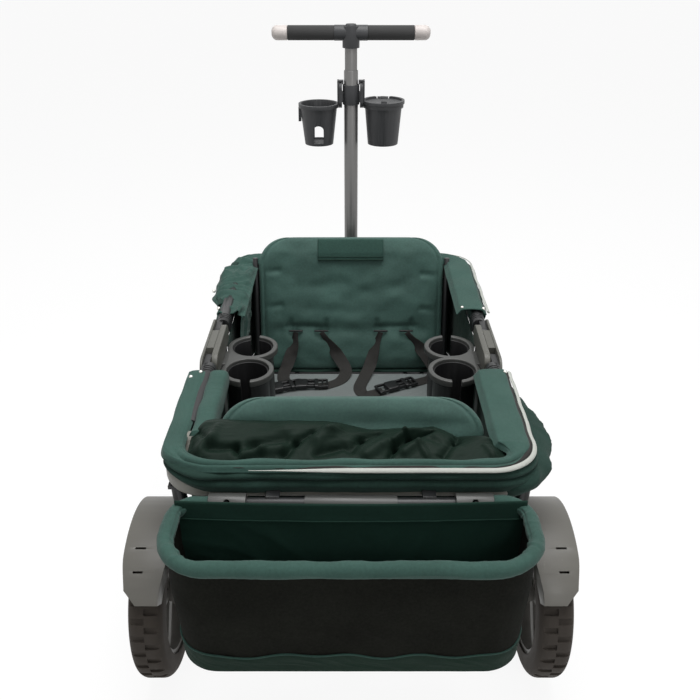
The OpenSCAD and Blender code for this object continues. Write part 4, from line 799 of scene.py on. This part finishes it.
def makePocket():
    # a flap that follows the pad's face and stands off towards its lower edge, with two cords along that edge
    x, h = np.linspace(*pocket["x"], 40)[:, None] * np.ones(24), np.linspace(*pocket["h"], 24) * np.ones((40, 1))
    flap = onFace(frontSeat, x, h, pocket["proud"] + pocket["lower"] * smoothStep(*pocket["h"][::-1], h))
    sheetPiece("seatPocketFlap", flap, flapCloth, pocket["thick"], "front_frame")
    x = np.linspace(*pocket["x"], 50)
    cords = [tube(onFace(frontSeat, x, h + 0 * x, proud), 0.0019) for h, proud in pocket["bindings"]]
    closedPiece("seatPocketBinding", cords, wallCloth, "front_frame")


makePocket()
slots = [superBox(onFace(frontSeat, x, slotHeight, -0.0005), (0.034, 0.005, 0.004), 0.5) for x in slotPlaces]
closedPiece("strapSlots", slots, blackMoulding, "front_frame")
print("seat backs made")

# loose cloth behind the rear seat back
# folds: each (x0, w0, x1, w1, width, height) is a crest, or a crease where its height is below 0; w is the way down
apronForm = dict(sides=(-0.2465, 0.2350), topY=-0.281, foot=(-0.3640, 0.4595), long=0.085, nu=280, nv=100, thick=0.0016)
apronTop = np.array([(-0.243, 0.474), (-0.234, 0.4815), (-0.206, 0.4845), (-0.160, 0.482), (-0.088, 0.4845),
                     (-0.017, 0.480), (0.006, 0.474), (0.029, 0.468), (0.101, 0.469), (0.129, 0.471), (0.147, 0.464),
                     (0.168, 0.4545), (0.210, 0.4545), (0.234, 0.446)])
apronFolds = [
    (-0.212, 0.063, -0.173, 0.058, 0.006, -0.008), (-0.173, 0.058, -0.169, 0.071, 0.005, -0.006),
    (-0.169, 0.066, -0.147, 0.055, 0.009, -0.006), (-0.147, 0.055, -0.100, 0.046, 0.010, -0.009),
    (-0.100, 0.075, -0.083, 0.051, 0.006, -0.008), (-0.083, 0.051, -0.060, 0.033, 0.006, -0.007),
    (-0.227, 0.065, -0.211, 0.048, 0.008, 0.005), (-0.211, 0.048, -0.203, 0.019, 0.008, 0.004),
    (-0.160, 0.076, -0.132, 0.067, 0.007, 0.007), (-0.132, 0.067, -0.104, 0.064, 0.007, 0.006),
    (-0.234, 0.022, -0.221, 0.043, 0.005, -0.006), (-0.050, 0.049, -0.032, 0.030, 0.010, 0.007),
    (-0.032, 0.030, -0.020, 0.018, 0.009, 0.005), (-0.051, 0.072, -0.011, 0.056, 0.007, -0.008),
    (0.000, 0.061, 0.016, 0.038, 0.008, -0.009), (0.016, 0.038, 0.041, 0.017, 0.008, -0.009),
    (0.024, 0.072, 0.052, 0.046, 0.009, 0.007), (0.064, 0.043, 0.082, 0.021, 0.0045, 0.007),
    (0.082, 0.021, 0.106, 0.006, 0.0045, 0.007), (0.065, 0.057, 0.088, 0.034, 0.006, -0.010),
    (0.088, 0.034, 0.125, 0.012, 0.006, -0.010), (0.052, 0.083, 0.067, 0.056, 0.005, -0.008),
    (0.080, 0.067, 0.101, 0.049, 0.007, 0.007), (0.101, 0.049, 0.115, 0.079, 0.005, 0.005),
    (0.122, 0.038, 0.131, 0.047, 0.009, -0.006), (0.136, 0.076, 0.160, 0.034, 0.007, -0.009),
    (0.160, 0.034, 0.167, 0.006, 0.007, -0.008), (0.180, 0.016, 0.209, 0.028, 0.010, 0.005),
    (0.203, 0.049, 0.215, 0.084, 0.005, 0.004), (-0.100, 0.022, -0.060, 0.014, 0.012, 0.003)]


def makeApron():
    # a sheet slung from behind the pad to the rim: height = a bulging run between its edges + folds, with tucked ends
    d = apronForm
    u, v = np.linspace(-1, 1, d["nu"])[:, None], np.linspace(0, 1, d["nv"])[None, :]
    x, w = d["sides"][0] + (d["sides"][1] - d["sides"][0]) * (u + 1) / 2 + 0 * v, d["long"] * v + 0 * u
    topZ = np.interp(x[:, 0], *apronTop.T)[:, None] + 0.0012 * waves(u, 0 * u, 69, 0.35)
    free = smoothStep(1.0, 0.82, v)
    small = 0.0016 * (ridges(x, w * 1.5, 68, 0.034, 4, lean=0.8, spread=0.6) - 0.4) + 0.0022 * waves(x, w, 63, 0.06)
    lift = (1.3 * creases(x, w, apronFolds) + small) * free * smoothStep(-0.05, 0.2, v)
    bulge = 0.010 * np.sin(np.pi * v ** 1.2)
    tuck = smoothStep(0.90, 1.0, np.abs(u))
    y = d["topY"] + (d["foot"][0] - d["topY"]) * v - 0.4 * lift + 0.012 * tuck * v
    z = topZ + (d["foot"][1] - topZ) * v + 0.9 * lift + bulge * (1 - 0.8 * tuck) - 0.012 * tuck * (1 - v)
    lip = smoothStep(0.10, 0.0, v)
    y, z = y + 0.007 * lip, z - 0.006 * lip
    grid = np.stack([x, y, z], -1)
    sheetPiece("rearApron", grid, apronCloth, d["thick"], "rear_frame", ["rear_apron"])


makeApron()

# walls of the tub
wallForm = dict(bottom=0.2292, endBottom=0.2145, top=0.431, endTop=0.411, centreTop=0.418, thick=0.0018, fold=0.004,
                corner=0.036, endFloor=0.2155)


def wallPair(name, grids, body, squash, replaced=()):
    # both sides as one sheet
    sheetPiece(name, grids, wallCloth, wallForm["thick"], body, replaced, squash)


def makeSideWall(name, y0, y1, body, node, seed):
    # upright sheets with slow upright folds that lean inwards, one on each side
    f, grids = wallForm, []
    y, v = np.linspace(y0, y1, 90)[:, None], np.linspace(0, 1, 40)[None, :]
    z = f["bottom"] + (f["top"] - f["bottom"]) * v
    for side in (-1, 1):
        inwards = f["fold"] * ridges(y, z, seed + side, 0.07, lean=0.1, spread=0.5) * np.sin(np.pi * v) ** 0.5
        grids.append(np.stack([side * (place["wallX"] + 0.001 - inwards), y + 0 * v, z + 0 * y], -1))
    wallPair(name, grids, body, ((0, 0, 1), (0, 0, f["top"]), 0.18), [node])


makeSideWall("rearSideWalls", -0.273, -0.037, "rear_wing", "rear_side_walls", 41)
makeSideWall("frontSideWalls", 0.079, 0.315, "front_wing", "front_side_walls", 43)


def makeCentreWalls():
    # plain upright sheets that close the tub between the two pairs of side walls
    f = wallForm
    y, z = np.linspace(-0.0450, 0.0870, 40)[:, None], np.linspace(f["bottom"], f["centreTop"], 40)[None, :]
    ripple = 0.0006 * waves(y, z, 49, 0.05)
    grids = [np.stack([side * (place["wallX"] + 0.0040) + ripple, y + 0 * z, z + 0 * y], -1) for side in (-1, 1)]
    wallPair("centreWalls", grids, "centre_link", ((0, 1, 0), (0, 0.021, 0), 0.4))


makeCentreWalls()


def makeEndWall(name, yStart, yEnd, body, node, seed):
    # one sheet round the end of the tub, with slow folds that die out at its two ends
    f, v = wallForm, np.linspace(0, 1, 30)[None, :]
    path, outward = uPath(place["wallX"], yStart, yEnd, f["corner"], 160)
    s = runLength(path)[:, None]
    ends = smoothStep(0.020, 0.012, s) + smoothStep(0.020, 0.012, s[-1] - s)
    fold = ridges(s, v * 0.2, seed, 0.08, lean=0.1, spread=0.4) * np.sin(np.pi * v) ** 0.5
    offset = 0.0012 - 0.003 * fold * (1 - ends) + 0.0026 * ends
    height = f["endBottom"] + (f["endTop"] - f["endBottom"]) * v + 0 * s
    grid = pathSection(path, outward, np.stack([offset, height], -1))
    sheetPiece(name, grid, wallCloth, f["thick"], body, [node])


def makeEndFloor(name, y0, y1, body):
    # the tub's floor cloth carried on from the mats to the end wall, under the seat back's foot
    f = wallForm
    x, y = np.linspace(-0.241, 0.241, 60)[:, None], np.linspace(y0, y1, 24)[None, :]
    half = (place["wallX"] - 0.001 - cornerIn(abs(y1) - np.abs(y), f["corner"])) / x[-1]
    grid = np.stack([x * half, y + 0 * x, f["endFloor"] + 0.0008 * waves(x, y, 46, 0.09)], -1)
    sheetPiece(name, grid, wallCloth, f["thick"], body)


makeEndWall("rearEndWall", -0.266, -0.3730, "rear_frame", "rear_end_wall", 45)
makeEndWall("frontEndWall", 0.308, 0.4580, "front_frame", "front_end_wall", 47)
makeEndFloor("rearEndFloor", -0.302, -0.3705, "rear_frame")
makeEndFloor("frontEndFloor", 0.344, 0.4555, "front_frame")


liningForm = dict(y=(0.140, 0.326), top=0.4600, long=0.118, x=-0.2205, lean=0.0120, nearest=-0.2175, fold=0.0115,
                  small=0.0035)


def makeLining():
    # loose cloth inside the front left rail: a sheet hung from the band, with strong slanting folds
    d, y, v = liningForm, np.linspace(*liningForm["y"], 110)[:, None], np.linspace(0, 1, 60)[None, :]
    z = d["top"] - d["long"] * v
    fold = ridges(y, z, 76, 0.055, 5, lean=0.5, spread=0.8) - 0.35
    small = ridges(y, z, 77, 0.024, lean=-0.4, spread=0.8) - 0.4
    slack = np.sin(np.pi * np.clip(0.12 + 0.8 * v, 0, 1)) ** 0.7
    x = d["x"] - d["lean"] * v + (d["fold"] * fold + d["small"] * small) * slack
    grid = np.stack([np.minimum(x, d["nearest"]), y + 0.004 * fold, z - 0.006 * fold * v], -1)
    sheetPiece("frontLeftLining", grid, greenCloth, wallForm["thick"], "front_wing",
               squash=((0, 0, 1), (0, 0, d["top"]), 0.22))


makeLining()
snapPlaces = dict(front_wing=[(-0.2975, 0.268, 0.4600), (-0.2690, 0.150, 0.4735), (0.2260, 0.152, 0.4745),
                              (0.2690, 0.150, 0.4730)],
                  rear_wing=[(-0.2625, -0.110, 0.4720), (-0.2770, -0.126, 0.4715), (0.2690, -0.112, 0.4735)])
snapDome = [(1e-5, 0.0030), (0.0016, 0.0028), (0.0030, 0.0018), (0.0036, 0.0002), (0.0036, -0.0030), (1e-5, -0.0030)]
for body, spots in snapPlaces.items():
    domes = [revolve(snapDome, spot, 20) for spot in spots]
    closedPiece(body.replace("_wing", "Snaps"), domes, chromeSnap, body)
print("walls made")


# floor mats
matForm = dict(halfWidth=0.2355, bottom=0.2178, top=0.2278, corner=0.006, edge=0.004, crown=(0.012, 0.0002), fill=0.9)


def makeMat(name, y0, y1, body, node):
    # a slab with a round edge all about: outline loops drawn in by the edge's radius at the top and bottom
    f, a = matForm, np.linspace(0, math.pi / 2, 8)
    quarter = np.stack([np.cos(a), np.sin(a)], 1)
    z0, z1, r, e = f["bottom"], f["top"], f["corner"], f["edge"]
    rings = []
    for inset, z in ((e, z0), (e * 0.3, z0 + e * 0.3), (0, z0 + e), (0, z1 - e), (e * 0.3, z1 - e * 0.3), (e, z1),
                     (f["crown"][0], z1 + f["crown"][1])):
        bow, push = max(r - inset, 0.0005), max(inset - r, 0)
        corners = ((1, 1, y1 - r, quarter), (-1, 1, y1 - r, quarter[::-1]), (-1, -1, y0 + r, quarter),
                   (1, -1, y0 + r, quarter[::-1]))
        ring = np.concatenate([np.array([sx * (f["halfWidth"] - r - push), y - sy * push]) + bow * q * [sx, sy]
                               for sx, sy, y, q in corners])
        rings.append(np.concatenate([ring, np.full((len(ring), 1), z)], 1))
    closedPiece(name, np.stack(rings), matCloth, body, [node])


makeMat("rearMat", -0.272, -0.0345, "rear_floor", "rear_mat")
makeMat("centreMat", -0.0335, 0.0755, "centre_link", "centre_mat")
makeMat("frontMat", 0.0765, 0.314, "front_floor", "front_mat")

# harness
strapForm = dict(width=0.029, slotWidth=0.012, thick=0.0018, flatLength=0.235)
onMat = place["matTop"] + strapForm["thick"]


def seatFace(x, h):
    # a strap's point just off the front pad
    return onFace(frontSeat, x, h, 0.0022).tolist()


strapPaths = [
    [seatFace(-0.130, 0.094), seatFace(-0.136, 0.060), (-0.150, 0.330, 0.243), (-0.158, 0.305, onMat),
     (-0.152, 0.272, onMat), (-0.128, 0.254, onMat)],
    [seatFace(-0.070, 0.094), seatFace(-0.050, 0.065), (-0.024, 0.334, 0.252), (-0.012, 0.310, 0.236),
     (-0.024, 0.278, onMat), (-0.052, 0.256, onMat), (-0.076, 0.250, onMat)],
    [seatFace(0.070, 0.094), seatFace(0.058, 0.060), (0.045, 0.326, 0.244), (0.032, 0.290, 0.2335),
     (0.020, 0.245, onMat), (0.030, 0.215, onMat), (0.056, 0.222, onMat), (0.074, 0.231, onMat)],
    [seatFace(0.131, 0.094), seatFace(0.155, 0.066), (0.178, 0.336, 0.262), (0.194, 0.316, 0.240),
     (0.188, 0.292, onMat), (0.162, 0.274, onMat), (0.134, 0.261, onMat)]]


def strap(points):
    # a ribbon that leaves its slot narrow and twisted, then turns to lie flat on the mat
    f, line = strapForm, along(points, 90)
    tangent, share = np.gradient(line, axis=0), np.linspace(0, 1, 90)
    turned = unit(np.stack([-tangent[:, 1], tangent[:, 0], 0 * tangent[:, 0]], 1))
    lying = smoothStep(0.246, 0.232, line[:, 2])[:, None]
    across = np.array([[1.0, 0, 0]]) * (1 - lying) * np.sign(-tangent[:, 1:2]) + lying * turned
    twist = 0.55 * smoothStep(0.0, 0.12, share) * smoothStep(0.34, 0.2, share)
    width = f["slotWidth"] + (f["width"] - f["slotWidth"]) * smoothStep(0.02, 0.22, share)
    return ribbon(line, across + twist[:, None] * np.array([[0, -1.0, 0.3]]), width, f["thick"])


straps = gridPiece("harnessStraps", [strap(points) for points in strapPaths], webbing, closed=True, smooth=False)
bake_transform(straps)
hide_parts("harness_straps")
# the buckle's boxes, each (along, across, size, power); those off the middle line come in pairs
buckleBoxes = [(-0.012, 0, (0.030, 0.033, 0.0115), 0.3), (0.008, 0.0125, (0.020, 0.006, 0.009), 0.4),
               (0.010, 0, (0.022, 0.008, 0.007), 0.4), (0.022, 0, (0.010, 0.034, 0.010), 0.3),
               (0.036, 0.0145, (0.022, 0.005, 0.006), 0.4), (0.0465, 0, (0.005, 0.034, 0.006), 0.4),
               (0.036, 0, (0.004, 0.034, 0.005), 0.5), (-0.036, 0.0145, (0.022, 0.005, 0.006), 0.4),
               (-0.0465, 0, (0.005, 0.034, 0.006), 0.4)]


def buckle(x, y, turn, lift=0.0):
    # a side release buckle: a waisted socket, two prongs beside a tongue, and a ladder bar at each end
    z, c, s = onMat + 0.0072 + lift, math.cos(turn), math.sin(turn)
    boxes = [(dx, side * dy, size, power) for dx, dy, size, power in buckleBoxes for side in ((1, -1) if dy else (1,))]
    return [superBox((x + c * dx - s * dy, y + s * dx + c * dy, z), size, power, turn, 24, 10)
            for dx, dy, size, power in boxes]


buckles = buckle(-0.101, 0.250, 0.06) + buckle(0.103, 0.245, 0.46) + buckle(-0.156, 0.236, 0.35, 0.002)
closedPiece("harnessBuckles", buckles, blackMoulding, "front_floor", ["harness_buckles"])
print("harness made")

# basket
basket = dict(halfWidth=0.254, hingeY=-0.406, frontY=-0.542, rimZ=0.420, rimRadius=0.0118, rearCorner=0.034,
              frontCorner=0.065, bottom=0.2215, backY=-0.4225, backTop=0.436, hemRow=42, thick=0.0016, fill=0.8)


def basketLine(inset, xEnd, count):
    # plan of the rim from its left socket round the front to the right one
    d, a = basket, np.linspace(0, math.pi / 2, 14)
    hw, y0, y1 = d["halfWidth"] - inset, d["hingeY"], d["frontY"] + inset
    r0, r1 = d["rearCorner"], d["frontCorner"] - inset
    rear = np.stack([-hw + r0 - r0 * np.sin(a), y0 - r0 + r0 * np.cos(a)], 1)
    front = np.stack([-hw + r1 - r1 * np.cos(a), y1 + r1 - r1 * np.sin(a)], 1)
    half = np.concatenate([[[-xEnd, y0]], rear, front])
    curve = evenly(np.concatenate([half, half[::-1] * [-1, 1]]), count)
    return curve, sideways(curve)


def makeBasketRim():
    # a padded tube round the rim, its radius rippled by puckers that are deepest on the inner side of the corners
    line, outward = basketLine(0.0, 0.207, 420)
    s, a = runLength(line)[:, None], turns(40)
    inside = 0.5 - 0.5 * np.cos(a)
    pucker = ridges(s, a * 0.01, 71, 0.017, lean=0.0, spread=0.4) - 0.5
    radius = basket["rimRadius"] + 0.0008 * waves(s, a * 0.02, 72, 0.08)
    radius = radius + pucker * (0.0008 + 0.0042 * bend(outward) ** 0.6 * inside)
    radius = radius - 0.0022 * bell(a - 4.15, 0.13) - 0.0016 * bell(a - 2.5, 0.09)
    grid = pathSection(line, outward, np.stack([radius * np.cos(a), basket["rimZ"] + radius * np.sin(a)], -1))
    closedPiece("basketRim", grid, greenCloth, "basket", ["basket_bag"])


def basketPiece(name, grid, material):
    # a hung sheet of the basket
    sheetPiece(name, grid, material, basket["thick"], "basket")


def makeBasketWall(name, z0, z1, material, proud, seed, wavy, bulge):
    # an upright sheet below the rim: the plan drawn in a little towards the bottom, bulging and rippled
    line, outward = basketLine(0.0, 0.23, 300)
    s, v = runLength(line)[:, None], np.linspace(0, 1, 36)[None, :]
    height = z0 + (z1 + wavy * waves(s, 0 * s, seed, 0.075) - z0) * v
    down = (basket["rimZ"] - height) / (basket["rimZ"] - basket["bottom"])
    swell = bulge * np.sin(np.pi * np.clip(down, 0, 1)) * (1 + 0.35 * waves(s, v * 0.2, seed + 1, 0.16))
    fold = (ridges(s, v * 0.15, seed + 2, 0.05, lean=0.2, spread=0.5) - 0.4) * np.sin(np.pi * v) ** 0.5
    offset = proud - 0.010 * down + swell + 0.0016 * fold
    grid = pathSection(line, outward, np.stack([offset, height], -1))[line[:, 1] < basket["backY"] + 0.002]
    basketPiece(name, grid, material)
    return grid


makeBasketRim()
makeBasketWall("basketNet", 0.2225, 0.411, basketMesh, 0.0, 81, 0.0, 0.003)
band = makeBasketWall("basketBand", 0.2215, 0.256, bandCloth, 0.0022, 84, 0.0055, 0.003)
closedPiece("basketStitch", tube(band[:, -2], 0.0014), flapCloth, "basket")


def makeBasketBack():
    # the back panel: an upright sheet between the side walls, sagging a little, with a hem along its top
    d, u, v = basket, np.linspace(-1, 1, 120)[:, None], np.linspace(0, 1, 50)[None, :]
    x, sag, row = 0.252 * u + 0 * v, 0.006 * (1 - u ** 2), d["hemRow"]
    z = d["bottom"] + 0.002 + (d["backTop"] - d["bottom"]) * v - sag * v ** 3
    fold = ridges(x, z, 91, 0.08, lean=0.4, spread=0.8) - 0.4
    y = d["backY"] - (sag + 0.0035 * fold) * np.sin(np.pi * v) - 0.0012 * bell(v - 0.865, 0.010)
    basketPiece("basketBack", np.stack([x, y, z], -1), linerCloth)
    hem = tube(np.stack([x[:, row], y[:, row] - 0.0014, z[:, row]], -1), 0.0011)
    closedPiece("basketHem", hem, linerCloth, "basket")


def makeBasketFloor():
    # the bottom: rows between the left and right edge of the walls' plan, with slight waves
    half = basketLine(0.010, 0.23, 200)[0][:100]
    half = half[half[:, 1] < basket["backY"] + 0.002]
    w = np.linspace(-1, 1, 60)[None, :]
    x, y = -half[:, :1] * w, half[:, 1:] + 0 * w
    z = basket["bottom"] + 0.0015 + 0.0012 * waves(x, y, 95, 0.1)
    basketPiece("basketFloor", np.stack([x, y, z], -1), linerCloth)


makeBasketBack()
makeBasketFloor()
print("basket made")


# stage, camera and light
def seenDirectly(tree):
    # 1 for camera, glossy and transmission rays, so the ground looks white but lights the part as a pale floor does
    path = tree.nodes.new("ShaderNodeLightPath")
    return calc(tree, "MAXIMUM", calc(tree, "MAXIMUM", path.outputs["Is Camera Ray"], path.outputs["Is Glossy Ray"]),
                path.outputs["Is Transmission Ray"])


stageForm = dict(floorColor=(0.86, 0.86, 0.86, 1), floorRough=0.9, glow=1.08, glowShare=0.84, worldLight=0.24)
lamps = dict(overhead=dict(at=(0.15, -0.1, 2.9), aim=(0, -0.1, 0.4), size=2.0, power=60),
             frontFill=dict(at=(0.7, -2.5, 2.0), aim=(0, -0.2, 0.45), size=0.5, power=8))
view = dict(at=(0, -1.333, 1.165), tilt=62.02, lens=41.34, sensor=36.0, shift=-1 / 700)


def makeFloor():
    # a pale ground mixed with a glow that only the camera and reflections see
    f = stageForm
    bpy.ops.mesh.primitive_plane_add(size=30, location=(0, 0, -0.0005))
    floor = bpy.context.object
    floor.name = "paleFloor"
    material, tree, shader = startMaterial("paleFloor", None, f["floorRough"], **{"Base Color": f["floorColor"]})
    glow, mixed = tree.nodes.new("ShaderNodeEmission"), tree.nodes.new("ShaderNodeMixShader")
    glow.inputs["Strength"].default_value = f["glow"]
    tree.links.new(calc(tree, "MULTIPLY", seenDirectly(tree), f["glowShare"]), mixed.inputs["Fac"])
    tree.links.new(shader.outputs[0], mixed.inputs[1])
    tree.links.new(glow.outputs[0], mixed.inputs[2])
    tree.links.new(mixed.outputs[0], tree.nodes["Material Output"].inputs["Surface"])
    floor.data.materials.append(material)


def makeWorld():
    # white where it is seen, and dimmer as a light
    world = bpy.data.worlds.new("softRoom")
    bpy.context.scene.world = world
    world.use_nodes = True
    tree, dim = world.node_tree, stageForm["worldLight"]
    back = tree.nodes["Background"]
    tree.links.new(calc(tree, "ADD", calc(tree, "MULTIPLY", seenDirectly(tree), 1 - dim), dim), back.inputs["Strength"])
    back.inputs["Color"].default_value = (1, 1, 1, 1)


def makeLamp(name, at, aim, size, power):
    # a square lamp turned towards its aim
    data = bpy.data.lights.new(name, "AREA")
    data.size, data.energy = size, power
    lamp = bpy.data.objects.new(name, data)
    lamp.location = at
    lamp.rotation_euler = (Vector(aim) - Vector(at)).to_track_quat("-Z", "Y").to_euler()
    bpy.context.scene.collection.objects.link(lamp)


makeFloor()
makeWorld()
for name, lamp in lamps.items():
    makeLamp(name, **lamp)
camData = bpy.data.cameras.new("photoCamera")
camData.lens, camData.sensor_width, camData.shift_x = view["lens"], view["sensor"], view["shift"]
camera = bpy.data.objects.new("photoCamera", camData)
camera.location, camera.rotation_euler = view["at"], (math.radians(view["tilt"]), 0, 0)
bpy.context.scene.collection.objects.link(camera)
bpy.context.scene.camera = camera
bpy.context.scene.view_settings.view_transform = "Standard"
